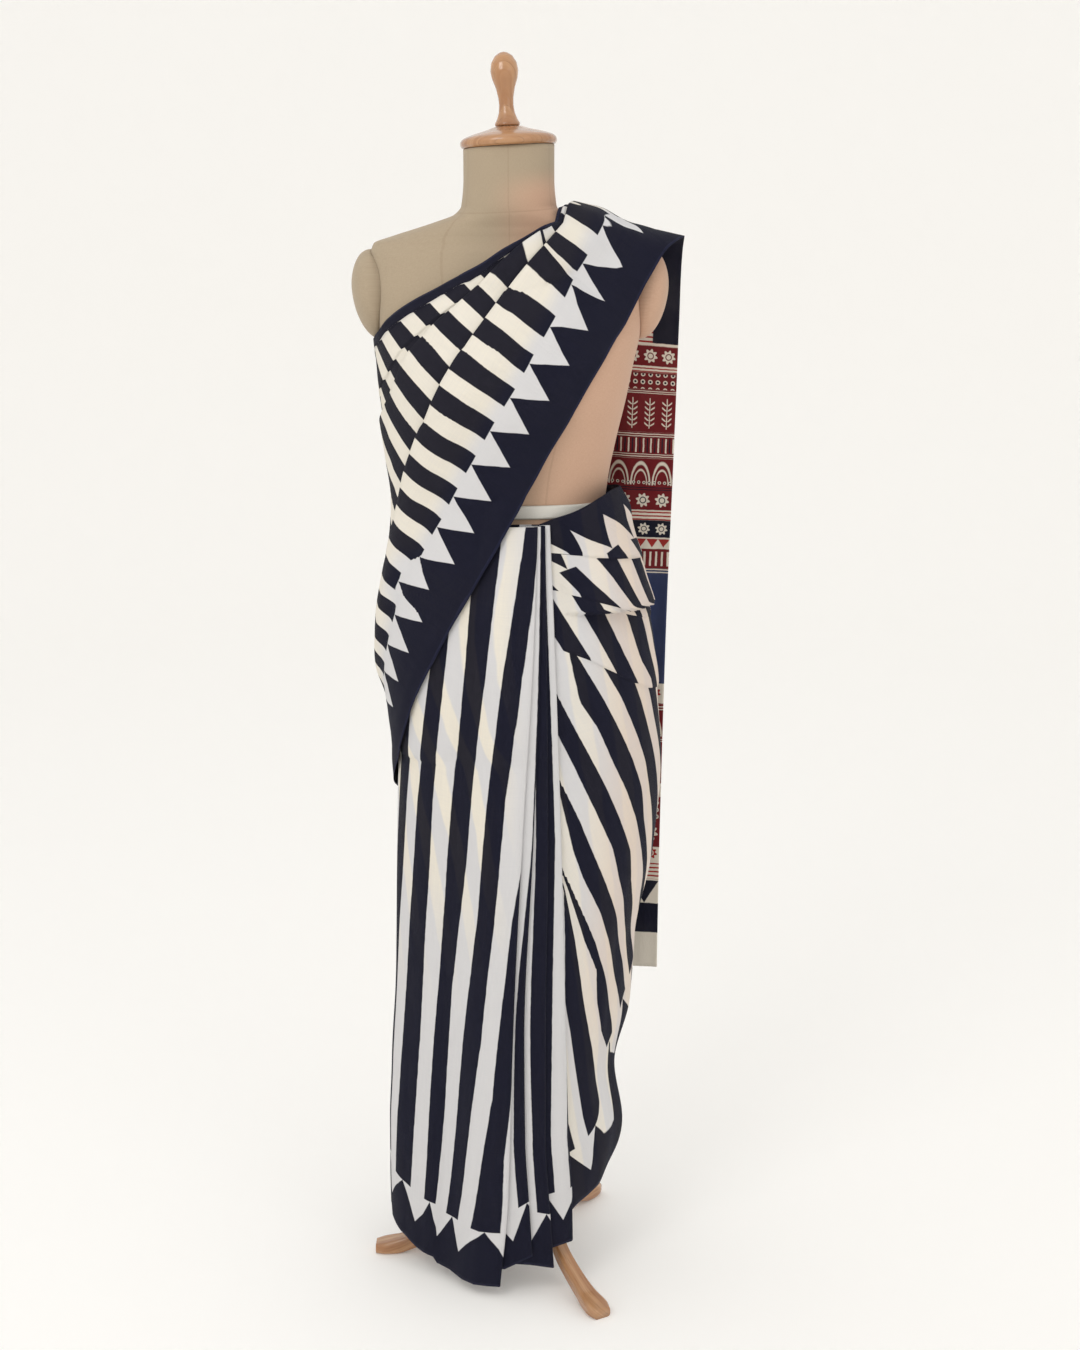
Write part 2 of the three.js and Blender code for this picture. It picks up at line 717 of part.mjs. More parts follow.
// Ribs over the shoulder and down the back, straight from the outer edge to the inner one.
const STRAIGHT = table(
  ["row", "edgeX", "edgeY", "edgeZ", "innerX", "innerY", "innerZ", "lean"],
  [
    [0, 176, -52, 1346, 62, -62, 1420, 35],
    [1, 206, -28, 1391, 68, -30, 1438, 66],
    [2, 227, 6, 1404, 74, 10, 1438, 90],
    [3, 228, 40, 1394, 73, 44, 1422, 130],
    [4, 228, 70, 1364, 72, 78, 1390, 158],
    [5, 228, 86, 1322, 70, 98, 1344, 172],
    [6, 227, 92, 1268, 67, 108, 1282, 180],
    [7, 225, 96, 1180, 62, 116, 1188, 180],
    [8, 222, 102, 1062, 58, 124, 1066, 180],
    [9, 219, 116, 940, 54, 142, 942, 180],
    [10, 217, 126, 820, 50, 158, 820, 180],
    [11, 215, 130, 690, 46, 164, 688, 180],
    [12, 213, 131, 540, 42, 165, 538, 180],
    [13, 212, 132, 380, 38, 166, 376, 180],
  ],
);
function straightRib(row) {
  const value = (name) => STRAIGHT.at(name, row);
  const edge = new THREE.Vector3(value("edgeX"), value("edgeY"), value("edgeZ"));
  const inner = new THREE.Vector3(value("innerX"), value("innerY"), value("innerZ"));
  const width = edge.distanceTo(inner);
  const spread = smooth(4, 10, row);
  const lean = rad(value("lean"));
  const normal = new THREE.Vector3(0, -Math.cos(lean), Math.sin(lean));
  return {
    lengths: [width - mix(13, 52, spread), width - mix(6, 24, spread), width],
    place: (distance, lift) => edge.clone().lerp(inner, distance / width).addScaledVector(normal, lift),
  };
}

function ribRow(rib, pitch) {
  return accordion(rib.lengths, pitch).map(({ distance, lift }) => rib.place(distance, lift));
}

const SHOULDER_ROW = 2;
const SEAM_ROWS = 0.07;
const bodiceGrid = RIBS.map((rib) => ribRow(chartRib(ribCorners(rib)), 3));
for (const row of [0, 1, SHOULDER_ROW - SEAM_ROWS]) {
  bodiceGrid.push(ribRow(straightRib(row), 3));
}
add("bodice_drape", sheetSolid(bodiceGrid, WALL), "cotton");

const palluPitch = (row) => mix(3, 4.5, smooth(4, 10, row));
const palluRows = STRAIGHT.rows.map(([row]) => row).slice(SHOULDER_ROW);
const palluGrid = palluRows.map((row) => ribRow(straightRib(row), palluPitch(row)));
add("pallu", sheetSolid(palluGrid, WALL), "pallu");

// The part stands with its origin under the middle of its bounding box.
group.updateMatrixWorld(true);
const box = new THREE.Box3().setFromObject(group);
group.position.set(-(box.min.x + box.max.x) / 2, -(box.min.y + box.max.y) / 2, -box.min.z);
group.updateMatrixWorld(true);

export default group;
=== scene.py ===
# Cotton sari draped on a limbless dress form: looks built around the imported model.
# Sizes are millimetres in the drafting frame until to_metres() moves them to the part's frame.
import math

import bpy
import numpy as np
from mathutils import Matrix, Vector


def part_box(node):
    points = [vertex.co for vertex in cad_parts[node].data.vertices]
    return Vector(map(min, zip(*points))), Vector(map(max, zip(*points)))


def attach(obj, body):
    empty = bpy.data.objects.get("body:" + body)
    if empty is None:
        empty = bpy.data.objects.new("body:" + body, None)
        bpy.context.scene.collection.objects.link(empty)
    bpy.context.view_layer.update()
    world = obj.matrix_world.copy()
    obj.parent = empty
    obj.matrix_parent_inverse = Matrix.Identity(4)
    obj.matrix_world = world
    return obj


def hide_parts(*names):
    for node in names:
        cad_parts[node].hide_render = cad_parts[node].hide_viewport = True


MM = 1000.0

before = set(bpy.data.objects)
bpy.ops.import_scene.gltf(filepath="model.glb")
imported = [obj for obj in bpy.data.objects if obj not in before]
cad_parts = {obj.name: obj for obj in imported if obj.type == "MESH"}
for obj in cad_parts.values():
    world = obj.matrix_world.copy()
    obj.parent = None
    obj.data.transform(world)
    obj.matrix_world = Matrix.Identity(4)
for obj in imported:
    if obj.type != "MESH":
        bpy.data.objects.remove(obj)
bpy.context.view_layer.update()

post_low, post_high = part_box("stand_post")
POST_X = 22.0
POST_Y = 14.0
SHIFT = np.array(
    [
        (post_low[0] + post_high[0]) / 2 - POST_X / MM,
        (post_low[1] + post_high[1]) / 2 - POST_Y / MM,
        0.0,
    ]
)


def to_metres(points):
    return np.asarray(points, dtype=float) / MM + SHIFT


# Curves and tables

def monotone(xs, ys):
    xs = np.array(xs, dtype=float)
    ys = np.array(ys, dtype=float)
    secant = np.diff(ys) / np.diff(xs)
    slope = np.zeros(len(xs))
    slope[0] = secant[0]
    slope[-1] = secant[-1]
    product = secant[:-1] * secant[1:]
    total = secant[:-1] + secant[1:]
    safe = np.where(total == 0, 1, total)
    slope[1:-1] = np.where(product <= 0, 0, 2 * product / safe)

    def read(x):
        x = np.clip(np.asarray(x, dtype=float), xs[0], xs[-1])
        i = np.clip(np.searchsorted(xs, x, side="right") - 1, 0, len(xs) - 2)
        h = xs[i + 1] - xs[i]
        t = (x - xs[i]) / h
        rise = t * t * (3 - 2 * t)
        leave = t * (1 - t) ** 2 * h * slope[i]
        arrive = t * t * (t - 1) * h * slope[i + 1]
        return ys[i] + rise * (ys[i + 1] - ys[i]) + leave + arrive

    return read


def table(names, rows):
    keys = [row[0] for row in rows]
    return {name: monotone(keys, [row[i] for row in rows]) for i, name in enumerate(names)}


def mix(a, b, t):
    return a + (b - a) * t


def smooth(a, b, x):
    t = np.clip((x - a) / (b - a), 0, 1)
    return t * t * (3 - 2 * t)


def unit(v):
    return v / np.maximum(np.linalg.norm(v, axis=-1, keepdims=True), 1e-9)


def sine(degrees):
    return np.sin(np.radians(degrees))


# The form's sections: where the middle is, half the width, and the depth to the front and to the back
FORM_ROWS = [
    [735, 12, 140, 98, 98],
    [742, 12, 147, 106, 106],
    [800, 12, 155, 116, 118],
    [860, 11, 158, 118, 123],
    [920, 9, 154, 114, 116],
    [980, 6, 143, 103, 100],
    [1030, 3, 130, 92, 87],
    [1062, 2, 126, 88, 84],
    [1100, 2, 130, 92, 84],
    [1150, 3, 139, 106, 88],
    [1205, 4, 151, 123, 92],
    [1245, 5, 158, 121, 96],
    [1280, 6, 165, 107, 98],
    [1320, 6, 171, 88, 95],
    [1355, 6, 175, 72, 88],
    [1382, 6, 176, 58, 76],
    [1395, 6, 172, 50, 64],
    [1404, 6, 148, 48, 58],
    [1413, 6, 119, 48, 56],
    [1422, 6, 91, 50, 54],
    [1430, 6, 70, 52, 53],
    [1441, 5, 60, 53, 52],
    [1475, 5, 57, 52, 51],
    [1512, 5, 57, 52, 51],
]
FORM = table(["z", "centre", "half", "front", "back"], FORM_ROWS)
FORM_KEYS = [row[0] for row in FORM_ROWS]
FORM_POWER = 2.3
FORM_BASE = 735
NECK_TOP = 1512
CAP_TILT = math.radians(3.3)

# How far the first turn and the outer turns of the cloth stand from the axis, by height
INNER_ROWS = [
    [20, 152, 95, 87, 116, 116, 130, 136, 140],
    [60, 153, 96, 88, 117, 118, 134, 138, 142],
    [130, 154, 98, 89, 118, 124, 136, 138, 144],
    [205, 154, 100, 91, 118, 128, 138, 138, 144],
    [290, 151, 104, 93, 117, 128, 140, 138, 144],
    [382, 150, 109, 96, 118, 134, 142, 138, 144],
    [468, 152, 114, 100, 121, 144, 146, 140, 144],
    [596, 154, 122, 107, 129, 154, 148, 138, 142],
    [735, 152, 131, 112, 133, 157, 144, 122, 136],
    [1052, 130, 110, 92, 112, 134, 110, 88, 108],
]
OUTER_ROWS = [
    [60, 158, 104, 97, 122, 128, 142, 146, 150],
    [130, 160, 106, 97, 125, 141, 146, 146, 152],
    [205, 160, 108, 99, 130, 156, 152, 146, 152],
    [290, 158, 112, 101, 126, 143, 152, 146, 152],
    [382, 158, 116, 104, 128, 160, 158, 147, 152],
    [468, 160, 122, 108, 132, 160, 160, 150, 152],
    [596, 162, 130, 115, 143, 184, 166, 152, 154],
    [722, 164, 139, 123, 152, 195, 170, 150, 154],
    [804, 168, 147, 128, 156, 190, 168, 146, 153],
    [885, 165, 147, 127, 153, 185, 162, 140, 149],
    [978, 157, 138, 120, 140, 168, 142, 116, 132],
    [1070, 144, 124, 112, 120, 136, 114, 94, 112],
    [1122, 151, 129, 115, 122, 142, 114, 94, 116],
    [1199, 163, 140, 128, 142, 158, 120, 100, 126],
    [1268, 170, 138, 118, 140, 174, 130, 106, 134],
    [1330, 177, 126, 94, 126, 178, 130, 104, 136],
    [1395, 176, 90, 60, 90, 180, 110, 74, 110],
]
RADII_COLUMNS = ["z", "left", "frontLeft", "front", "frontRight", "right", "backRight", "back", "backLeft"]
INNER = table(RADII_COLUMNS, INNER_ROWS)
OUTER = table(RADII_COLUMNS, OUTER_ROWS)
COMPASS = ["front", "frontRight", "right", "backRight", "back", "backLeft", "left", "frontLeft"]
AXIS_Z = [0, 290, 468, 596, 735, 860, 980, 1062, 1200, 1320, 1512]
AXIS = monotone(AXIS_Z, [-6, -5, 5, 10, 12, 11, 6, 2, 4, 6, 5])


def compass_radius(radii, angle, z):
    angle, z = np.broadcast_arrays(np.asarray(angle, dtype=float), np.asarray(z, dtype=float))
    turn = np.mod(angle / 45, 8)
    i = np.floor(turn).astype(int) % 8
    t = turn - np.floor(turn)
    every = np.stack([radii[name](z) for name in COMPASS])

    def pick(k):
        return np.take_along_axis(every, ((i + k) % 8)[None], axis=0)[0]

    a, b, c, d = pick(-1), pick(0), pick(1), pick(2)
    return 0.5 * (2 * b + (c - a) * t + (2 * a - 5 * b + 4 * c - d) * t * t + (3 * b - a - 3 * c + d) * t**3)


def form_radius(angle, z):
    turn = np.radians(angle)
    side = np.abs(np.sin(turn)) / FORM["half"](z)
    depth = np.where(np.cos(turn) > 0, FORM["front"](z), FORM["back"](z))
    along = np.abs(np.cos(turn)) / depth
    return (side**FORM_POWER + along**FORM_POWER) ** (-1 / FORM_POWER)


# Room for one layer of cloth, and the clear gap where parts meet
LAYER = 4.2
FIT_GAP = 0.4


def inner_radius(angle, z):
    shaped = compass_radius(INNER, angle, z)
    return np.where(z < FORM_BASE, shaped, np.maximum(shaped, form_radius(angle, z) + LAYER))


def polar(angle, radius, z):
    turn = np.radians(angle)
    x = AXIS(z) + radius * np.sin(turn)
    y = -radius * np.cos(turn)
    return np.stack(np.broadcast_arrays(x, y, np.asarray(z, dtype=float)), axis=-1)


# Where the edges of the centre pleats stand across the front, by height
FOLD_NAMES = ["lead", "second", "third", "last"]
FOLDS = table(
    ["z"] + FOLD_NAMES,
    [
        [20, -10, 36, 64, 89],
        [140, 1, 29, 56, 87],
        [230, 4, 24, 51, 82],
        [372, 8, 23, 51, 78],
        [645, 21, 35, 54, 71],
        [906, 36, 44, 52, 62],
        [1052, 41, 46, 50, 56],
    ],
)
TUCK_Z = 1050
COVER_Z = 940
STAND_OFF = 1.8
PLEAT_LAYERS = 7


def pleat_pitch(z):
    return mix(3.5, 2.5, smooth(300, 1000, z))


def pleat_top(z):
    return 2 * LAYER + PLEAT_LAYERS * pleat_pitch(z)


def panel_offset(x, z):
    lead = FOLDS["lead"](z)
    return mix(LAYER, pleat_top(z), smooth(lead - 88, lead - 36, x))


def outer_radius(angle, z):
    angle, z = np.broadcast_arrays(np.asarray(angle, dtype=float), np.asarray(z, dtype=float))
    turn = np.radians(angle)
    shaped = compass_radius(OUTER, angle, z)
    above = smooth(TUCK_Z + 10, TUCK_Z + 70, z)
    front = np.cos(turn) > 0
    on_panel = (np.sin(turn) < 0) | (front & (z > COVER_Z))
    under = inner_radius(angle, z)
    x = AXIS(z) + under * np.sin(turn)
    stand_off = STAND_OFF + np.where(front, panel_offset(x, z), LAYER)
    cover = np.where(on_panel, stand_off, 0)
    return np.maximum(shaped, under + (cover + LAYER) * (1 - above))


# The angle on the front half at which a surface stands at x
def angle_at(x, z, radius_at):
    x, z = np.broadcast_arrays(np.asarray(x, dtype=float), np.asarray(z, dtype=float))
    low = np.full(x.shape, -90.0)
    high = np.full(x.shape, 90.0)
    for _ in range(30):
        middle = (low + high) / 2
        left_of = AXIS(z) + radius_at(middle, z) * np.sin(np.radians(middle)) < x
        low = np.where(left_of, middle, low)
        high = np.where(left_of, high, middle)
    return (low + high) / 2


# Meshes

def grid_faces(rows, columns):
    i, j = np.meshgrid(np.arange(rows - 1), np.arange(columns - 1), indexing="ij")
    a = i * columns + j
    b = a + 1
    return np.stack([a, b, b + columns, a + columns], axis=-1).reshape(-1, 4).tolist()


def add_mesh(name, grid, maps, faces=None):
    rows, columns = grid.shape[:2]
    mesh = bpy.data.meshes.new(name)
    mesh.from_pydata(to_metres(grid.reshape(-1, 3)).tolist(), [], faces or grid_faces(rows, columns))
    loops = np.empty(len(mesh.loops), dtype=np.int32)
    mesh.loops.foreach_get("vertex_index", loops)
    for layer_name, pair in maps.items():
        values = np.stack([np.broadcast_to(value, (rows, columns)) for value in pair], axis=-1)
        layer = mesh.uv_layers.new(name=layer_name)
        layer.data.foreach_set("uv", values.reshape(-1, 2)[loops].astype(np.float32).ravel())
    mesh.polygons.foreach_set("use_smooth", [True] * len(mesh.polygons))
    mesh.update()
    obj = bpy.data.objects.new(name, mesh)
    bpy.context.scene.collection.objects.link(obj)
    return obj


def finish_piece(obj, node, slot):
    obj.data.materials.append(MATERIALS[slot])
    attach(obj, "root")
    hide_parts(node)


def thicken(obj, wall):
    thick = obj.modifiers.new("thickness", "SOLIDIFY")
    thick.thickness = wall
    thick.offset = 0


CLOTH_WALL = 0.0009


# Map "cloth" is the place on the cut, "extra" the painted warm light on the whites, "under" the layer below
# and how much of it shows
def add_cloth(name, grid, cut_place, node, slot, painted_warm_light=0.0, under=0.0, show=0.0):
    u, v = cut_place
    maps = {"cloth": (u / MM, v / MM), "extra": (painted_warm_light, 0.0), "under": (under / MM, show)}
    obj = add_mesh(name, grid, maps)
    thicken(obj, CLOTH_WALL)
    finish_piece(obj, node, slot)


def row_normals(grid):
    along = np.gradient(grid, axis=1)
    down = np.gradient(grid, axis=0)
    return unit(np.cross(along, down))


def split_columns(grid, parts):
    share = np.arange(parts)[:, None] / parts
    between = mix(grid[:, :-1, None], grid[:, 1:, None], share)
    return np.concatenate([between.reshape(len(grid), -1, 3), grid[:, -1:]], axis=1)


def arc_along(grid, axis):
    step = np.linalg.norm(np.diff(grid, axis=axis), axis=-1)
    start = np.zeros_like(np.take(step, [0], axis=axis))
    return np.concatenate([start, np.cumsum(step, axis=axis)], axis=axis)


LEAST_STRIPE = 0.4
STRIPE_RATE = 0.92


# Stripe edges, listed: each line is a stripe edge's u, then points (s, z) down the cloth.
def stripe_field(lines, s, z, lean=None):
    order = sorted(lines)
    edges = []
    for value in order:
        points = np.array(sorted(lines[value], key=lambda point: point[1]), dtype=float)
        place, height = points[:, 0], points[:, 1]
        edge = np.interp(z, height, place)
        foot_slope = (place[1] - place[0]) / (height[1] - height[0])
        head_slope = (place[-1] - place[-2]) / (height[-1] - height[-2])
        if lean:
            foot_slope = lean[0]
            head_slope = min(lean[1], head_slope)
        edge = edge + np.minimum(0, z - height[0]) * foot_slope + np.maximum(0, z - height[-1]) * head_slope
        if edges:
            edge = np.maximum(edge, edges[-1] + LEAST_STRIPE)
        edges.append(edge)
    u = order[0] + (s - edges[0]) * STRIPE_RATE
    for k in range(len(order) - 1):
        inside = order[k] + (s - edges[k]) / (edges[k + 1] - edges[k]) * (order[k + 1] - order[k])
        u = np.where(s >= edges[k], inside, u)
    return np.where(s >= edges[-1], order[-1] + (s - edges[-1]) * STRIPE_RATE, u)


# Distance from each place to a polyline
def distance_to(line, places):
    step = np.diff(line, axis=0)
    away = places.reshape(-1, 1, 2) - line[None, :-1, :]
    along = np.clip(np.sum(away * step, axis=2) / np.sum(step**2, axis=1), 0, 1)
    gap = np.linalg.norm(away - along[..., None] * step, axis=2)
    return gap.min(axis=1).reshape(places.shape[:-1])


# Node graphs: arithmetic on a Wire adds Math nodes

def math_node(operation):
    return lambda wire, *others: wire.math(operation, *others)


class Wire:
    """A value in a node tree."""

    def __init__(self, tree, socket):
        self.tree = tree
        self.socket = socket

    def math(self, operation, *others):
        node = self.tree.nodes.new("ShaderNodeMath")
        node.operation = operation
        self.tree.links.new(self.socket, node.inputs[0])
        for i, other in enumerate(others):
            if isinstance(other, Wire):
                self.tree.links.new(other.socket, node.inputs[i + 1])
            else:
                node.inputs[i + 1].default_value = other
        return Wire(self.tree, node.outputs[0])

    __add__ = math_node("ADD")
    __sub__ = math_node("SUBTRACT")
    __mul__ = math_node("MULTIPLY")
    __abs__ = math_node("ABSOLUTE")
    mod = math_node("FLOORED_MODULO")
    sin = math_node("SINE")
    lowest = math_node("MINIMUM")
    highest = math_node("MAXIMUM")

    def minus_from(self, value):
        return (self * -1.0) + value

    def above(self, at, soft=0.5):
        node = self.tree.nodes.new("ShaderNodeMapRange")
        node.interpolation_type = "SMOOTHSTEP"
        self.tree.links.new(self.socket, node.inputs["Value"])
        node.inputs["From Min"].default_value = at - soft
        node.inputs["From Max"].default_value = at + soft
        return Wire(self.tree, node.outputs["Result"])

    def below(self, at, soft=0.5):
        return self.above(at, soft).minus_from(1.0)

    def between(self, low, high, soft=0.5):
        return self.above(low, soft) * self.below(high, soft)


class Paint:
    """A material's node tree with its Principled shader and helpers."""

    def __init__(self, name, surface):
        self.material = bpy.data.materials.new(name)
        self.material.use_nodes = True
        self.tree = self.material.node_tree
        self.link = self.tree.links.new
        self.shader = self.tree.nodes["Principled BSDF"]
        for socket, value in surface.items():
            self.shader.inputs[socket].default_value = value

    def uv(self, name):
        node = self.tree.nodes.new("ShaderNodeUVMap")
        node.uv_map = name
        parts = self.tree.nodes.new("ShaderNodeSeparateXYZ")
        self.link(node.outputs[0], parts.inputs[0])
        return [Wire(self.tree, parts.outputs[k]) for k in range(2)]

    def noise(self, place, scale, detail=2.0, roughness=0.5):
        node = self.tree.nodes.new("ShaderNodeTexNoise")
        node.inputs["Scale"].default_value = scale
        node.inputs["Detail"].default_value = detail
        node.inputs["Roughness"].default_value = roughness
        if place is None:
            vector = self.tree.nodes.new("ShaderNodeTexCoord").outputs["Object"]
        else:
            pair = self.tree.nodes.new("ShaderNodeCombineXYZ")
            for wire, socket in zip(place, pair.inputs):
                self.link(wire.socket, socket)
            vector = pair.outputs[0]
        self.link(vector, node.inputs["Vector"])
        return Wire(self.tree, node.outputs["Fac"])

    def blend(self, share, first, second):
        node = self.tree.nodes.new("ShaderNodeMix")
        node.data_type = "RGBA"
        self.link(share.socket, node.inputs[0])
        for index, value in ((6, first), (7, second)):
            if isinstance(value, tuple):
                node.inputs[index].default_value = (*value, 1.0)
            else:
                self.link(value, node.inputs[index])
        return node.outputs[2]

    def bump(self, height, distance, strength=1.0, under=None):
        node = self.tree.nodes.new("ShaderNodeBump")
        node.inputs["Strength"].default_value = strength
        node.inputs["Distance"].default_value = distance
        self.link(height.socket, node.inputs["Height"])
        if under is not None:
            self.link(under, node.inputs["Normal"])
        return node.outputs[0]

    def done(self, colour, normal=None):
        self.link(colour, self.shader.inputs["Base Color"])
        if normal is not None:
            self.link(normal, self.shader.inputs["Normal"])
        return self.material


def srgb(r, g, b):
    def linear(c):
        c = c / 255
        return c / 12.92 if c <= 0.04045 else ((c + 0.055) / 1.055) ** 2.4

    return (linear(r), linear(g), linear(b))


# Cloth materials, in millimetres along and across the cut
STRIPE_PITCH = 48.0
DARK_WIDTH = 25.0
CUT_WIDTH = 1120.0
EDGE_BAND = 36.0
ARROW_BASE = 80.0
INK = srgb(24, 25, 41)
INK_SHEER = srgb(35, 34, 43)
COOL_WHITE = srgb(214, 213, 214)
CREAM = srgb(234, 227, 212)
PAINTED_WARM_WHITE = srgb(224, 202, 184)
THREAD_SHADE = srgb(196, 196, 202)
HEM_INK = srgb(40, 42, 66)


THREAD_PITCH = 0.9
HEM_LINE = 3.2


COTTON_SURFACE = {
    "Roughness": 0.85,
    "Specular IOR Level": 0.12,
    "Sheen Weight": 0.03,
    "Sheen Roughness": 0.5,
}
LINEN_SURFACE = {"Roughness": 0.9, "Specular IOR Level": 0.2, "Sheen Weight": 0.15}
TAPE_SURFACE = {"Roughness": 0.75, "Specular IOR Level": 0.3}
WOOD_SURFACE = {"Roughness": 0.24, "Specular IOR Level": 0.5, "Coat Weight": 0.5, "Coat Roughness": 0.12}
PAPER_SURFACE = {
    "Roughness": 0.95,
    "Specular IOR Level": 0.1,
    "Emission Color": (0.96, 0.94, 0.91, 1.0),
    "Emission Strength": 0.085,
}


def threads_and_creases(paint, u, v, creases, distance, strength):
    turn = 2 * math.pi / THREAD_PITCH
    weave = paint.bump((u * turn).sin() * (v * turn).sin(), 0.00012, 0.6)
    return paint.bump(creases, distance, strength, weave)


def cotton_material():
    paint = Paint("striped_cotton", COTTON_SURFACE)
    u_m, v_m = paint.uv("cloth")
    painted_warm_light, _ = paint.uv("extra")
    under_m, show = paint.uv("under")
    u = u_m * MM
    v = v_m * MM
    place = (u_m, v_m)
    wander = (paint.noise(place, 60.0, 3.0) - 0.5) * 1.4
    across = (u + wander).mod(STRIPE_PITCH)
    edge = v.lowest(v.minus_from(CUT_WIDTH))
    centre = (DARK_WIDTH + STRIPE_PITCH) / 2
    away = abs(across - centre)
    away = away.lowest(abs(across - centre + STRIPE_PITCH))
    growth = (edge - EDGE_BAND) * (STRIPE_PITCH / 2 / (ARROW_BASE - EDGE_BAND))
    arrow = (growth - away).above(0.0)
    stripe = across.above(DARK_WIDTH) * across.below(STRIPE_PITCH - 0.5)
    beyond = edge.above(ARROW_BASE)
    white = (stripe * beyond) + (arrow * beyond.minus_from(1.0))
    hidden = (under_m * MM + (paint.noise(place, 12.0) - 0.5) * 14.0).mod(STRIPE_PITCH)
    lit = hidden.above(DARK_WIDTH, 2.0) * hidden.below(STRIPE_PITCH - 2.0, 2.0) * show
    slub_u = paint.noise((u_m * 14.0, v_m * 500.0), 1.0)
    slub_v = paint.noise((u_m * 500.0, v_m * 14.0), 1.0)
    slub = (slub_u + slub_v) - 1.0
    patch = paint.noise(place, 7.0, 3.0)
    ink = paint.blend(lit.highest((patch + slub * 0.4).above(0.62, 0.2) * 0.4), INK, INK_SHEER)
    pale = paint.blend(lit, COOL_WHITE, CREAM)
    # Painted warm light: the whites turn warmer where the extra map says the light falls warm.
    pale = paint.blend(painted_warm_light, pale, PAINTED_WARM_WHITE)
    pale = paint.blend((slub * 0.8).above(0.0, 0.35) * 0.16, pale, THREAD_SHADE)
    ink = paint.blend(edge.below(HEM_LINE, 0.3) * 0.5, ink, HEM_INK)
    crumple = paint.noise((u_m * 3.0, v_m), 16.0, 4.0)
    return paint.done(paint.blend(white, ink, pale), threads_and_creases(paint, u, v, crumple, 0.005, 0.4))


MAROON = srgb(112, 30, 36)
RED = srgb(160, 48, 46)
INDIGO = srgb(52, 62, 96)
OFF_WHITE = srgb(226, 218, 204)
PALLU_EDGE = 34.0
PALLU_EDGE_START = 1266.0


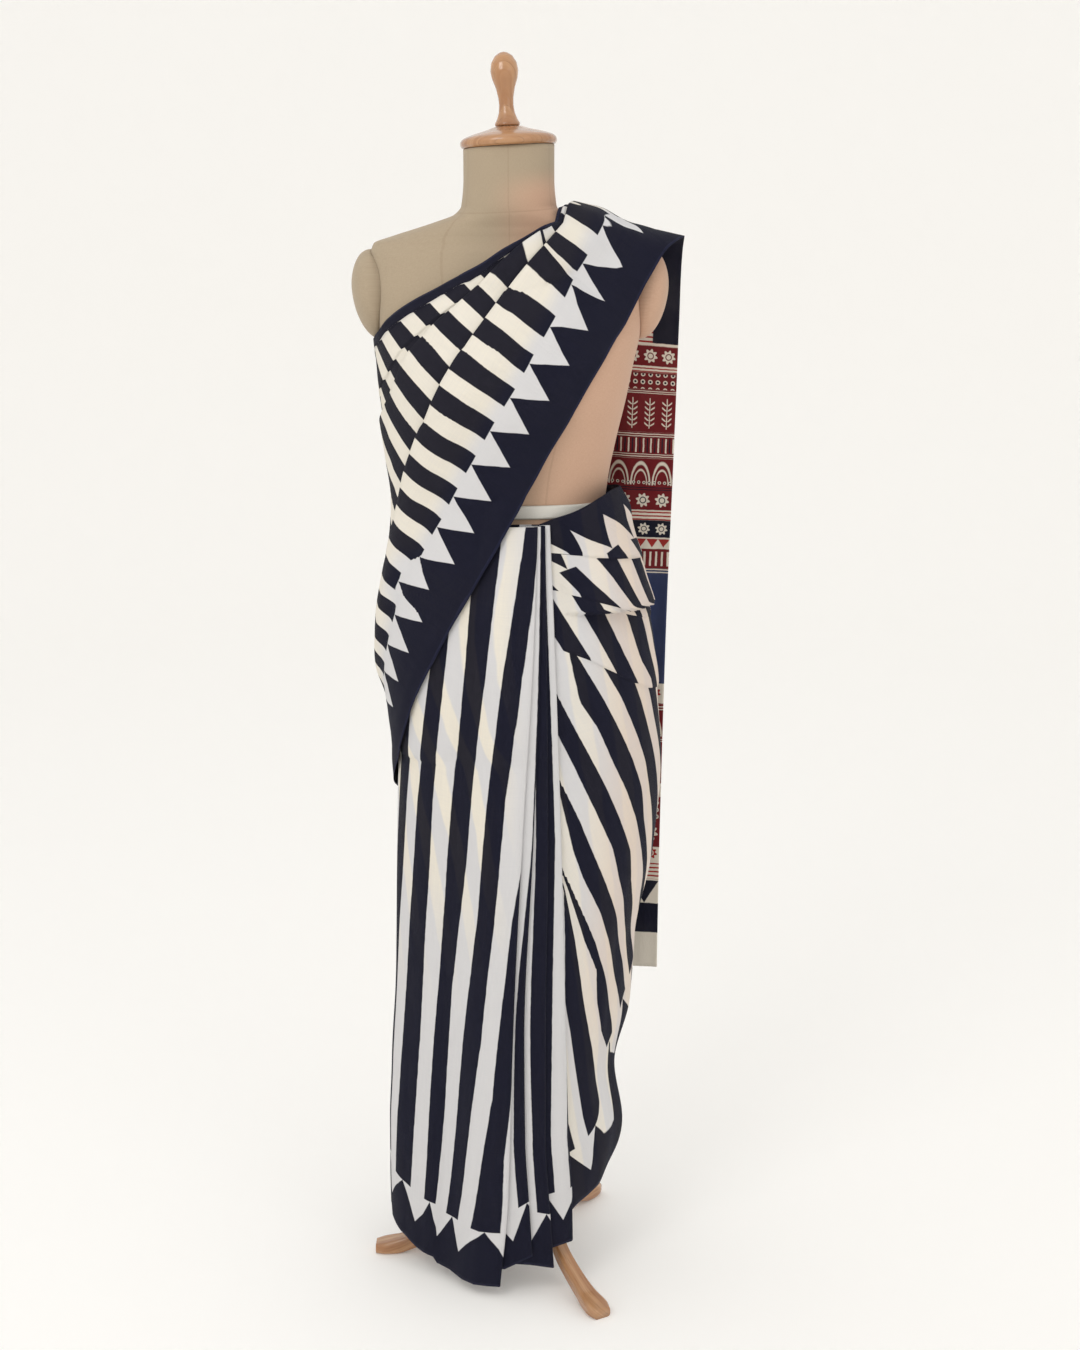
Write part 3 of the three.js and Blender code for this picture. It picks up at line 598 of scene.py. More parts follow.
def pallu_material():
    paint = Paint("printed_cotton", COTTON_SURFACE)
    height_m, across_m = paint.uv("cloth")
    height = height_m * MM
    across = across_m * MM
    place = (height_m, across_m)
    wander = (paint.noise(place, 120.0, 3.0) - 0.5) * 1.4
    h = height + wander
    x = across + wander
    colour = OFF_WHITE

    def stamp(mark, low, high, fill, soft=0.3):
        nonlocal colour
        inside = h.between(low, high, soft)
        colour = paint.blend(inside if mark is None else mark * inside, colour, fill)

    def cell(along, size):
        return along.mod(size) - size / 2

    def distance(a, b):
        return ((a * a) + (b * b)).math("SQRT")

    def band(low, high, fill):
        stamp(None, low, high, fill, 0.6)

    def lines(low, high, pitch, fill, share=0.4, along=None):
        stamp((along or h).mod(pitch).below(pitch * share, 0.4), low, high, fill, 0.5)

    def columns(low, high, pitch, fill, share=0.35):
        lines(low, high, pitch, fill, share, x)

    def rosettes(low, high, size, fill, heart):
        cell_x = cell(x, size)
        cell_h = h - (low + high) / 2
        far = distance(cell_x, cell_h)
        petal = ((cell_h.math("ARCTAN2", cell_x) * 8.0).sin() * 0.16) + 0.84
        stamp((petal * ((high - low) * 0.42) - far).above(0.0), low, high, fill)
        stamp(far.between((high - low) * 0.14, (high - low) * 0.2, 0.4), low, high, heart)

    def leaves(low, high, size, fill):
        reach = high - low
        cell_x = cell(x, size)
        cell_h = h - (low + high) / 2
        stem = abs(cell_x).below(0.6, 0.3) * abs(cell_h).below(reach * 0.42, 0.6)
        slant = abs(cell_x) * 0.8
        leaf = abs(cell(cell_h + reach / 2, 7.0) - (slant - 4.5)).below(1.1, 0.4)
        leaf = leaf * abs(cell_x).below(size * 0.28, 0.6) * abs(cell_h).below(reach * 0.36, 0.6)
        stamp(stem.highest(leaf), low, high, fill)

    def scallops(low, high, size, fill):
        far = distance(cell(x, size), (h - low) * (size / 2 / (high - low)))
        outer = far.between(size * 0.4, size * 0.47)
        stamp(outer.highest(far.between(size * 0.28, size * 0.32, 0.4)), low, high, fill)

    def triangles(low, high, size, fill):
        rise = (h - low) * (size / 2 / (high - low))
        stamp((abs(cell(x, size)) - rise).below(0.0), low, high, fill)

    def dots(low, high, size, fill, heart):
        far = distance(cell(x, size), cell(h, size))
        stamp(far.below(size * 0.3, 0.4), low, high, fill)
        stamp(far.below(size * 0.16, 0.4), low, high, heart)

    # The print from the shoulder down to the plain end
    band(1285, 1700, INK)
    lines(1262, 1285, 6.0, RED)
    band(1236, 1262, MAROON)
    rosettes(1238, 1260, 24.0, OFF_WHITE, MAROON)
    lines(1228, 1236, 4.0, RED)
    band(1044, 1228, MAROON)
    dots(1206, 1226, 10.0, OFF_WHITE, INK)
    lines(1200, 1205, 2.5, OFF_WHITE)
    leaves(1150, 1198, 23.0, OFF_WHITE)
    lines(1143, 1149, 3.0, OFF_WHITE)
    columns(1122, 1141, 5.0, INK)
    columns(1122, 1141, 10.0, OFF_WHITE, 0.2)
    lines(1114, 1120, 3.0, OFF_WHITE)
    scallops(1078, 1112, 29.0, OFF_WHITE)
    dots(1078, 1086, 7.0, OFF_WHITE, INK)
    lines(1070, 1076, 3.0, INK)
    rosettes(1046, 1069, 26.0, OFF_WHITE, INK)
    lines(1030, 1044, 5.0, RED)
    band(1006, 1030, INK)
    rosettes(1008, 1028, 24.0, OFF_WHITE, INK)
    band(990, 1006, OFF_WHITE)
    triangles(992, 1004, 16.0, RED)
    band(962, 990, MAROON)
    columns(966, 986, 8.0, OFF_WHITE)
    band(798, 962, INDIGO)
    lines(954, 962, 4.0, OFF_WHITE)
    band(770, 798, OFF_WHITE)
    rosettes(773, 795, 26.0, RED, OFF_WHITE)
    band(560, 770, MAROON)
    lines(760, 768, 4.0, OFF_WHITE)
    scallops(722, 756, 29.0, OFF_WHITE)
    dots(722, 730, 7.0, OFF_WHITE, INK)
    lines(714, 720, 3.0, OFF_WHITE)
    leaves(664, 712, 23.0, OFF_WHITE)
    lines(656, 662, 3.0, INK)
    columns(634, 654, 5.0, INK)
    columns(634, 654, 10.0, OFF_WHITE, 0.2)
    dots(600, 630, 10.0, OFF_WHITE, INK)
    rosettes(566, 596, 30.0, OFF_WHITE, INK)
    rosettes(540, 562, 24.0, RED, OFF_WHITE)
    lines(512, 536, 6.0, RED)
    triangles(476, 510, 40.0, INK)
    band(432, 476, INK)
    colour = paint.blend(across.below(PALLU_EDGE, 0.6) * h.above(PALLU_EDGE_START, 0.6), colour, INK)
    fade = paint.noise(place, 14.0, 4.0)
    colour = paint.blend(fade.above(0.6, 0.3) * 0.03, colour, OFF_WHITE)
    crumple = paint.noise((height_m, across_m * 3.0), 22.0, 4.0, 0.55)
    return paint.done(colour, threads_and_creases(paint, height, across, crumple, 0.004, 0.35))


FORM_ROUND = 0.13
TAPE_ROUND = 0.12
TAPE_WIDTH = 0.017
RIB_PITCH = 0.0012


def linen_material():
    paint = Paint("form_linen", LINEN_SURFACE)
    u, v = paint.uv("cloth")
    seam, neck = paint.uv("extra")
    near = abs((seam + 0.5).mod(1.0) - 0.5) * 60.0
    near_neck = abs(neck * MM)
    line = near.below(0.9).highest(near_neck.below(0.8))
    soft = near.below(3.0, 3.0).highest(near_neck.below(3.0, 3.0))
    threads_u = paint.noise((u * 1600.0, v * 240.0), 1.0, 1.0)
    threads_v = paint.noise((u * 240.0, v * 1600.0), 1.0, 1.0)
    threads = (threads_u + threads_v) * 0.5
    beige = paint.blend(threads.above(0.5, 0.3), srgb(164, 148, 126), srgb(176, 160, 137))
    # Painted warm light: a peach copy of the linen blended in round the form's right side, below the neck
    # seam; the left keeps the cooler beige.
    painted_warm_light_side = paint.blend(threads.above(0.5, 0.3), srgb(194, 157, 133), srgb(204, 168, 144))
    base = paint.blend((u * (1 / FORM_ROUND)).sin().above(0.1, 0.7) * neck.below(0.035, 0.02), beige, painted_warm_light_side)
    stain = paint.noise(None, 6.0, 3.0)
    base = paint.blend(stain.above(0.5, 0.25) * 0.15, base, srgb(168, 148, 124))
    base = paint.blend(line * 0.16, base, srgb(130, 106, 82))
    normal = paint.bump(threads, 0.0002, 0.3)
    normal = paint.bump(soft.minus_from(1.0), 0.0004, 0.3, normal)
    return paint.done(base, normal)


def tape_material():
    paint = Paint("woven_tape", TAPE_SURFACE)
    u, v = paint.uv("cloth")
    rib_turn = 2 * math.pi / RIB_PITCH
    ribs = (u * rib_turn).sin() * (v * rib_turn).sin()
    edge = abs(v - TAPE_WIDTH / 2).above(TAPE_WIDTH / 2 - 0.0013, 0.0003)
    base = paint.blend(ribs.above(0.0, 0.6), srgb(214, 210, 200), srgb(236, 233, 226))
    base = paint.blend(edge * 0.35, base, srgb(184, 178, 164))
    normal = paint.bump(ribs, 0.0002, 0.6)
    return paint.done(base, normal)


def wood_material():
    paint = Paint("varnished_wood", WOOD_SURFACE)
    along, around = paint.uv("cloth")
    rings = paint.noise((along * 6.0, around * 90.0), 1.0, 4.0, 0.6)
    broad = paint.noise((along * 2.0, around * 22.0), 1.0, 2.0)
    pores = paint.noise((along * 40.0, around * 700.0), 1.0, 1.0)
    base = paint.blend(rings.above(0.5, 0.22), srgb(160, 110, 70), srgb(194, 150, 108))
    base = paint.blend(broad.above(0.55, 0.2) * 0.5, base, srgb(142, 92, 56))
    base = paint.blend(pores.above(0.66, 0.05) * 0.35, base, srgb(94, 58, 34))
    normal = paint.bump(rings, 0.0002, 0.25)
    return paint.done(base, normal)


MATERIALS = {
    "cotton": cotton_material(),
    "pallu": pallu_material(),
    "linen": linen_material(),
    "tape": tape_material(),
    "wood": wood_material(),
}


# Dress form

# A closed body from rings whose last point repeats the first
def ring_mesh(name, rings, maps):
    rows, columns = rings.shape[:2]
    faces = grid_faces(rows, columns)
    faces.append(list(range(columns - 1))[::-1])
    start = (rows - 1) * columns
    faces.append(list(range(start, start + columns - 1)))
    return add_mesh(name, rings, maps, faces)


SEAM_Z = [735, 860, 1062, 1205, 1330, 1400, 1512]
NECK_SEAM = {"z": 1437, "back": 0.1, "side": 0.05}
shoulder_z = np.linspace(1382, 1450, 40)
form_z = np.unique(np.concatenate([np.linspace(FORM_BASE, NECK_TOP, 150), FORM_KEYS, shoulder_z]))
form_angle = np.linspace(-180, 180, 193)
ANGLE, HEIGHT = np.meshgrid(form_angle, form_z)
radius = form_radius(ANGLE, HEIGHT)
form_centre = FORM["centre"](HEIGHT)
form_x = form_centre + radius * np.sin(np.radians(ANGLE))
form_y = -radius * np.cos(np.radians(ANGLE))
top_tilt = smooth(NECK_TOP - 12, NECK_TOP, HEIGHT) * math.tan(CAP_TILT)
form_points = np.stack([form_x, form_y, HEIGHT + top_tilt * (form_x - form_centre)], axis=-1)
# Seam lines at whole numbers: centre front 0, princess lines 1 and -1, sides 2, back lines 3, centre back 4
princess = np.interp(form_z, SEAM_Z, [36, 36, 30, 32, 46, 62, 60])
rear = np.interp(form_z, SEAM_Z, [142, 142, 148, 146, 138, 122, 124])
seams = [np.interp(np.abs(form_angle), [0, a, 90, b, 180], [0, 1, 2, 3, 4]) for a, b in zip(princess, rear)]
neck_line = HEIGHT - (NECK_SEAM["z"] + NECK_SEAM["back"] * form_y + NECK_SEAM["side"] * form_x)
form_maps = {
    "cloth": (np.radians(ANGLE) * FORM_ROUND, HEIGHT / MM),
    "extra": (np.stack(seams) * np.sign(ANGLE), neck_line / MM),
}
finish_piece(ring_mesh("form_body", form_points, form_maps), "form_torso", "linen")

# Where the cap's cloth is read from the body's colours, left and right: the right cap takes the body's
# painted warm light, the left cap its cooler side
CAP_WARM_LIGHT_SHIFT = 0.12
ARM_CAP = {"gap": 1.9, "rise": 26, "y": 6, "z": 1332, "half_height": 56, "half_depth": 42}
TURN, RISE = np.meshgrid(np.linspace(0, 2 * math.pi, 65), np.sin(np.linspace(0, math.radians(84), 26)))
for side, node in ((-1, "arm_cap_left"), (1, "arm_cap_right")):
    scale = np.sqrt(1 - RISE**2)
    z = ARM_CAP["z"] + ARM_CAP["half_height"] * scale * np.sin(TURN)
    y = ARM_CAP["y"] + ARM_CAP["half_depth"] * scale * np.cos(TURN)
    seat = FORM["centre"](z) + side * (FORM["half"](z) + ARM_CAP["gap"])
    dome = np.stack([seat + side * ARM_CAP["rise"] * RISE, y, z], axis=-1)
    # The padding's sewn rim reaches in to the body cloth all round.
    rim = dome[0].copy()
    round_angle = side * np.linspace(40, 140, 101)
    for point in rim:
        round_radius = form_radius(round_angle, np.full(round_angle.shape, point[2]))
        body_x = FORM["centre"](point[2]) + round_radius * np.sin(np.radians(round_angle))
        body_y = -round_radius * np.cos(np.radians(round_angle))
        point[0] = np.interp(point[1], body_y, body_x) + side * 0.5
    dome = np.concatenate([rim[None], dome], axis=0)
    dome_rise = np.concatenate([RISE[:1], RISE], axis=0)
    dome_maps = {
        "cloth": (side * CAP_WARM_LIGHT_SHIFT + dome[..., 1] / MM, dome[..., 2] / MM),
        "extra": (0.5, 0.0015 + dome_rise * 0.03),
    }
    finish_piece(ring_mesh("padded_" + node, dome, dome_maps), node, "linen")


# Turned and shaped wood

def eased(line):
    for _ in range(3):
        line[1:-1] = (line[:-2] + 2 * line[1:-1] + line[2:]) / 4
    return line


def lathe(name, profile, base, tilt, node, steps=10):
    outline = np.array(profile, dtype=float)
    reach = arc_along(outline, 0)
    at = np.unique(np.concatenate([np.linspace(0, reach[-1], len(outline) * steps), reach]))
    TURN, R = np.meshgrid(np.linspace(0, 2 * math.pi, 97), eased(np.interp(at, reach, outline[:, 0])))
    Z = eased(np.interp(at, reach, outline[:, 1]))[:, None]
    x = R * np.cos(TURN)
    y = R * np.sin(TURN)
    lean_x = x * math.cos(tilt) - Z * math.sin(tilt)
    lean_z = x * math.sin(tilt) + Z * math.cos(tilt)
    points = np.stack([base[0] + lean_x, base[1] + y, base[2] + lean_z], axis=-1)
    grain = (x / MM, (y + Z * 0.35) / MM) if tilt else (Z / MM, TURN * 0.02)
    finish_piece(ring_mesh(name, points, {"cloth": grain}), node, "wood")


# Profiles are radius and height from the foot up
CAP_HEIGHT = 25
CAP_RIM = [[0.3, 0], [57, 0], [60, 2], [61, 6], [60, 10], [56, 13]]
CAP_PROFILE = CAP_RIM + [[44, 17], [28, 21], [16, CAP_HEIGHT], [0.3, CAP_HEIGHT]]
FINIAL_FOOT = [[0.3, 0], [15.5, 0], [16, 3], [13, 8], [10, 16], [9, 25], [9.5, 34]]
FINIAL_PROFILE = FINIAL_FOOT + [[12, 46], [16, 57], [17.5, 66], [16, 76], [11, 84], [5, 88], [0.3, 89]]
neck_x = float(FORM["centre"](NECK_TOP))


def on_neck(lift):
    return (neck_x - lift * math.sin(CAP_TILT), 0.0, NECK_TOP + lift * math.cos(CAP_TILT))


lathe("turned_cap", CAP_PROFILE, on_neck(FIT_GAP), CAP_TILT, "neck_cap", 5)
lathe("turned_finial", FINIAL_PROFILE, on_neck(CAP_HEIGHT + 2 * FIT_GAP), CAP_TILT, "finial", 6)

POST = {"low": 136, "high": 226}
post_base = POST["high"] + FIT_GAP
post_top = FORM_BASE - POST["high"] - 2 * FIT_GAP
POST_PROFILE = [[0.3, 0], [14.6, 0], [15, 0.6], [15, post_top - 0.6], [14.6, post_top], [0.3, post_top]]
HUB_PROFILE = [[0.3, 0], [8, 0], [15, 6], [23, 14], [23, 78], [19, 86], [17, 90], [0.3, 90]]
lathe("turned_post", POST_PROFILE, (POST_X, POST_Y, post_base), 0, "stand_post", 12)
lathe("turned_hub", HUB_PROFILE, (POST_X, POST_Y, POST["low"]), 0, "stand_hub")

# Reach from the post, height of the middle, half height and half width down a leg
LEG_ROWS = [
    [23.5, 192, 24, 8],
    [40, 170, 20, 9.5],
    [62, 122, 17, 10],
    [82, 76, 14, 10],
    [102, 46, 12, 10],
    [128, 30, 11, 10.5],
    [158, 17, 11, 11.5],
    [178, 10.5, 10.5, 14],
    [196, 8.5, 8.5, 16],
    [210, 7, 7, 12],
]
leg_index = np.arange(len(LEG_ROWS))
leg_fine = np.linspace(0, len(LEG_ROWS) - 1, 91)
reach, z, tall, wide = [monotone(leg_index, column)(leg_fine)[:, None] for column in zip(*LEG_ROWS)]
around = np.linspace(0, 2 * math.pi, 41)
across = wide * np.sign(np.sin(around)) * np.abs(np.sin(around)) ** 0.6
up = tall * np.sign(np.cos(around)) * np.minimum(1, 1.12 * np.abs(np.cos(around)) ** 0.6)
for node, angle in (("leg_front", 30), ("leg_back", 150), ("leg_left", -90)):
    turn = math.radians(angle)
    out = np.array([math.sin(turn), -math.cos(turn), 0])
    aside = np.array([math.cos(turn), math.sin(turn), 0])
    points = np.array([POST_X, POST_Y, 0.0]) + reach[..., None] * out + across[..., None] * aside
    points[..., 2] += z + up
    grain = (reach / MM + z / 2000, (up + across) / MM)
    finish_piece(ring_mesh("carved_" + node, points, {"cloth": grain}), node, "wood")

TAPE_LOW = 1056
TAPE_HIGH = 1073
tape_angle = np.linspace(-180, 180, 181)[None, :]
waist = np.maximum(form_radius(tape_angle, TAPE_LOW), form_radius(tape_angle, TAPE_HIGH))
tape_z = np.linspace(TAPE_HIGH, TAPE_LOW, 7)[:, None]
tape_grid = polar(tape_angle, waist + 3.6 * FIT_GAP + 0.5, tape_z)
tape_cloth = (np.radians(tape_angle) * TAPE_ROUND, (tape_z - TAPE_LOW) / MM)
tape = add_mesh("waist_band", tape_grid, {"cloth": tape_cloth})
thicken(tape, 0.001)
finish_piece(tape, "waist_tape", "tape")


# Skirt

LEVELS = [1050, 1005, 960, 915, 870, 820, 770, 725, 640, 540, 440, 340, 245]
HEM_SHARES = [0, 0.36, 0.7, 1]
LAST_LEVEL = len(LEVELS) - 1


# Heights down the skirt: level rows first, then rows that close up to the hem
def level_height(hem, position):
    upper = np.interp(position, np.arange(len(LEVELS)), LEVELS)
    share = np.interp(position - LAST_LEVEL, np.arange(len(HEM_SHARES)), HEM_SHARES)
    return np.where(position <= LAST_LEVEL, upper, mix(LEVELS[-1], hem, share))


ROW_POSITIONS = np.linspace(0, LAST_LEVEL + 3, 151)[:, None]
SKIRT_ROUND = 146
WRAP_HEM = monotone([-74, 0, 40, 90, 135, 180, 250], [90, 95, 125, 150, 130, 110, 84])
wrap_angle = np.linspace(-74, 250, 221)[None, :]
wrap_hem = WRAP_HEM(wrap_angle)
wrap_z = level_height(wrap_hem, ROW_POSITIONS)
wrap_wave = 2.2 * smooth(700, 200, wrap_z) * sine(wrap_angle * 6) * smooth(60, 110, wrap_angle)
wrap_small = 1.4 * smooth(620, 260, wrap_z) * (1 + sine(wrap_angle * 17 + 40))
wrap_radius = inner_radius(wrap_angle, wrap_z) + LAYER * smooth(150, 235, wrap_angle)
wrap_grid = polar(wrap_angle, wrap_radius + np.minimum(0, wrap_wave) - wrap_small, wrap_z)
wrap_place = (np.radians(wrap_angle) * SKIRT_ROUND, wrap_z - wrap_hem)
add_cloth("skirt_first_turn", wrap_grid, wrap_place, "skirt_wrap", "cotton")

PANEL_START = -109.7
PANEL_JOIN = -88
FOLD_ROUND = 1.2
FOOT_Z = 40.0
FOOT_RADIUS = 156.0
HIDDEN = monotone([20, 600, 1052], [34, 30, 24])
PANEL_HEM = monotone([-165, -159, -146, -96, -47, -10], [80, 53, 34, 23, 17, 18])
STRIP_HEM = {"second": (40, 62), "third": (46, 40), "last": (66, 70)}


# Across the front: x, stand-off and strip of each place, from the panel over the four folded edges
def pleat_stations(z):
    pitch = pleat_pitch(z)
    under = HIDDEN(z)
    edges = [FOLDS[name](z) for name in FOLD_NAMES]
    stations = []
    for back in (PANEL_JOIN, -70, -52, -36, -18):
        x = edges[0] + back
        stations.append((x, panel_offset(x, z), 0))
    for k, edge in enumerate(edges):
        over = PLEAT_LAYERS - 2 * k
        left = edges[min(k, len(edges) - 2)] - under
        places = [
            (edge - FOLD_ROUND, over, k),
            (edge, over - 0.5, k),
            (edge - FOLD_ROUND, over - 1, k),
            ((left + edge) / 2, over - 1, k),
            (left + FOLD_ROUND, over - 1, k),
        ]
        if k < len(edges) - 1:
            places.append((left, over - 1.5, k + 1))
            places.append((left + FOLD_ROUND, over - 2, k + 1))
            places.append(((left + edges[k + 1]) / 2, over - 2, k + 1))
        stations += [(x, 2 * LAYER + layer * pitch, strip) for x, layer, strip in places]
    return stations


def strip_hem(x, strip):
    if strip == 0:
        return float(PANEL_HEM(x))
    low, high = STRIP_HEM[FOLD_NAMES[strip]]
    edges = [float(FOLDS[name](20)) for name in FOLD_NAMES]
    return float(mix(low, high, smooth(edges[strip - 1], edges[strip], x)))


def panel_offset_radius(angle, z):
    return inner_radius(angle, z) + LAYER


def panel_joint(z):
    return angle_at(FOLDS["lead"](z) + PANEL_JOIN, z, panel_offset_radius)


panel_share = np.linspace(0, 0.95, 58)[None, :]
foot = polar(mix(PANEL_START, float(panel_joint(FOOT_Z)), panel_share), FOOT_RADIUS, FOOT_Z)
behind = foot[..., 1] > 0
panel_hem = np.where(behind, mix(80, 84, np.minimum(1, foot[..., 1] / 50)), PANEL_HEM(foot[..., 0]))
panel_z = level_height(panel_hem, ROW_POSITIONS)
panel_angle = mix(PANEL_START, panel_joint(panel_z), panel_share)
panel_grid = polar(panel_angle, panel_offset_radius(panel_angle, panel_z), panel_z)

columns = []
column_hem = []
column_strip = []
for j, (foot_x, _, strip) in enumerate(pleat_stations(FOOT_Z)):
    hem = strip_hem(float(foot_x), strip)
    z = level_height(hem, ROW_POSITIONS[:, 0])
    x, offset, _ = pleat_stations(z)[j]

    def reach_at(angle, height, offset=offset):
        return inner_radius(angle, height) + offset

    angle = angle_at(x, z, reach_at)
    columns.append(polar(angle, reach_at(angle, z), z))
    column_hem.append(hem)
    column_strip.append(strip)
SPLIT = 3
LEAD_COLUMN = 6
EDGE_SPACING = 8
pleat_fine = split_columns(np.stack(columns, axis=1), SPLIT)
fine_index = np.arange(pleat_fine.shape[1]) / SPLIT
fine_hem = np.interp(fine_index, np.arange(len(column_hem)), column_hem)
fine_strip = np.array(column_strip)[np.round(fine_index).astype(int)]
front_grid = np.concatenate([panel_grid, pleat_fine], axis=1)
front_hem = np.concatenate([panel_hem[0], fine_hem])
front_strip = np.concatenate([np.zeros(panel_grid.shape[1], dtype=int), fine_strip])
front_arc = arc_along(front_grid, 1)
panel_count = panel_grid.shape[1]
edge_columns = [panel_count + SPLIT * (LEAD_COLUMN + EDGE_SPACING * k) for k in range(len(FOLD_NAMES))]
front_z = front_grid[..., 2]
BOUNDARY_Z = [230, 370, 645]
BOUNDARY = [
    None,
    monotone(BOUNDARY_Z, [-9, -12, -23]),
    monotone(BOUNDARY_Z, [-7, -4, -9]),
    monotone(BOUNDARY_Z, [27, 21, 9]),
]
PANEL_STRIPES = {
    -144: [(-142, 855), (-163, 682), (-176, 510), (-181, 340), (-192, 166)],
    -119: [(-121, 855), (-135, 691), (-144, 520), (-149, 350), (-160, 166)],
    -96: [(-89, 933), (-98, 775), (-111, 610), (-120, 440), (-131, 264), (-135, 177)],
    -71: [(-54, 938), (-69, 780), (-79, 620), (-98, 440), (-108, 264), (-115, 176)],
    -48: [(-19, 1010), (-37, 865), (-48, 708), (-55, 540), (-74, 370), (-93, 180)],
    -23: [(0, 1010), (-13, 865), (-25, 708), (-31, 540), (-43, 370), (-66, 196)],
    0: [(4, 640), (-8, 540), (-13, 460), (-19, 380), (-25, 292), (-37, 204)],
    25: [(24, 640), (6, 440), (-1, 292), (-8, 204), (-8, 117)],
}
front_u = np.zeros(front_arc.shape)
for k, edge_column in enumerate(edge_columns):
    from_edge = front_arc[:, [edge_column]] - front_arc
    here = front_strip == k
    if k == 0:
        phase = stripe_field(PANEL_STRIPES, -from_edge, front_z)
    else:
        phase = from_edge - BOUNDARY[k](front_z)
    front_u[:, here] = phase[:, here]
wide_ripple = 1.1 * np.sin(front_arc / 17 + 0.6)
small_ripple = 0.8 * np.sin(front_arc / 9.5 + front_z / 160)
columns_to_edge = edge_columns[0] - np.arange(front_grid.shape[1])
ripple = smooth(760, 300, front_z) * (wide_ripple + small_ripple) * (front_strip == 0)
ripple = ripple * smooth(0, 30, columns_to_edge)
front_grid = front_grid + row_normals(front_grid) * np.minimum(0.8, ripple)[..., None]
add_cloth(
    "skirt_panel_and_pleats",
    front_grid,
    (front_u, front_z - front_hem),
    "front_pleats",
    "cotton",
    under=np.where(front_strip == 0, 0.97 * front_arc - 0.2 * (900 - front_z), front_arc),
    show=smooth(380, 660, front_z) * smooth(-3, -12, front_strip * 10 - columns_to_edge),
)


# Hip drape
DRAPE_EDGES = table(
    ["angle", "low", "high"],
    [
        [15, 78, 1045],
        [38, 98, 1062],
        [55, 118, 1082],
        [72, 130, 1091],
        [86, 168, 1090],
        [98, 250, 1088],
        [108, 345, 1084],
        [122, 412, 1078],
        [150, 468, 1072],
        [180, 520, 1070],
        [215, 590, 1096],
        [245, 652, 1190],
    ],
)
# Each tuck: height at the pleats, height at the side, how far its roll stands out
TUCKS = [(1017, 1002, 3.4), (972, 922, 2.6), (898, 828, 2.6)]
TUCK_ROWS = (16, 24, 24)
SKIRT_ROWS = 106


def tuck_line(tuck, angle):
    return mix(tuck[0], tuck[1], smooth(20, 85, angle))


def tuck_out(angle, z):
    fade = 1 - smooth(85, 120, angle)
    total = 0
    for tuck in TUCKS:
        line = tuck_line(tuck, angle)
        roll = smooth(line - 2.4, line - 0.6, z) * (1 - smooth(line + 10, line + 58, z))
        total = total + tuck[2] * roll * fade
    return total


drape_angle = np.linspace(15, 245, 231)[None, :]
drape_low = DRAPE_EDGES["low"](drape_angle)
drape_high = DRAPE_EDGES["high"](drape_angle)
TUCK_EDGE = 1.5
TUCK_GAP = 0.4
tuck_lines = [tuck_line(tuck, drape_angle) - TUCK_EDGE for tuck in TUCKS]
drape_rows = []
section_top = drape_high
for line, count in zip(tuck_lines, TUCK_ROWS):
    drape_rows += [mix(section_top, line + TUCK_GAP, t) for t in np.linspace(0, 1, count)]
    section_top = line - TUCK_GAP
drape_rows += [mix(section_top, drape_low, t) for t in np.linspace(0, 1, SKIRT_ROWS)]
drape_z = np.concatenate(drape_rows, axis=0)


# Turns over which the outer surface is averaged where it passes the side
SIDE_TURNS = (-12, -8, -4, 0, 4, 8, 12)


# The hip turn's surface, tucked in behind the last pleat, and how far each place is past that pleat
def drape_shape(angle, z):
    last_fold = FOLDS["last"](z)
    free_angle = angle_at(last_fold, z, lambda a, h: inner_radius(a, h) + 2 * LAYER) + 2
    shown = smooth(free_angle, free_angle + 24, angle)
    loose = smooth(760, 420, z) * smooth(48, 75, angle) * (1 - smooth(210, 240, angle))
    wave = loose * (3.5 * (1 + sine(angle * 9 - z * 0.1)) + 1.2 * sine(angle * 21 - z * 0.25 + 30))
    averaged = sum(outer_radius(angle + turn, z) for turn in SIDE_TURNS) / len(SIDE_TURNS)
    near_side = smooth(70, 80, angle) * (1 - smooth(102, 112, angle))
    cleared = np.maximum(averaged, inner_radius(angle, z) + 2 * LAYER)
    over_form = mix(outer_radius(angle, z), cleared, near_side)
    free_radius = over_form + tuck_out(angle, z) + wave
    radius = mix(inner_radius(angle, z) + LAYER, free_radius, shown)
    return polar(angle, radius, z), angle - (free_angle - 2)


drape_grid, _ = drape_shape(drape_angle, drape_z)
# Arc from the last fold, measured level, then read at each place
level_z = np.linspace(60, 1200, 229)[:, None] + np.zeros(drape_angle.shape)
level_grid, past_fold = drape_shape(drape_angle, level_z)
level_arc = arc_along(level_grid, 1)
level_arc = level_arc - np.array([[np.interp(0, past, arc)] for past, arc in zip(past_fold, level_arc)])
drape_arc = [np.interp(z, level, arc) for z, level, arc in zip(drape_z.T, level_z.T, level_arc.T)]
drape_arc = np.stack(drape_arc, axis=1)
# Lean of the stripes past their last points, below and above, and the width of edge tucked in at the waist
DRAPE_LEAN = (-0.33, -0.45)
TUCKED_EDGE = 16
UPPER_STRIPES = {
    121: [(48, 1016), (16, 1045)],
    144: [(73, 1016), (35, 1045)],
    169: [(108, 1008), (84, 1032), (50, 1067)],
    192: [(150, 1000), (80, 1068)],
    217: [(185, 985), (95, 1076)],
}
MIDDLE_STRIPES = {
    96: [(-4, 1007), (37, 966)],
    121: [(16, 1014), (94, 942)],
    144: [(55, 1015), (129, 926)],
    169: [(85, 1014), (146, 916)],
    192: [(119, 1004), (166, 913)],
}
LOWER_STRIPES = {
    73: [(0, 962), (47, 883)],
    96: [(24, 969), (91, 850)],
    121: [(64, 950), (128, 829)],
    144: [(110, 928), (133, 869), (153, 843)],
    169: [(146, 916), (166, 862)],
}
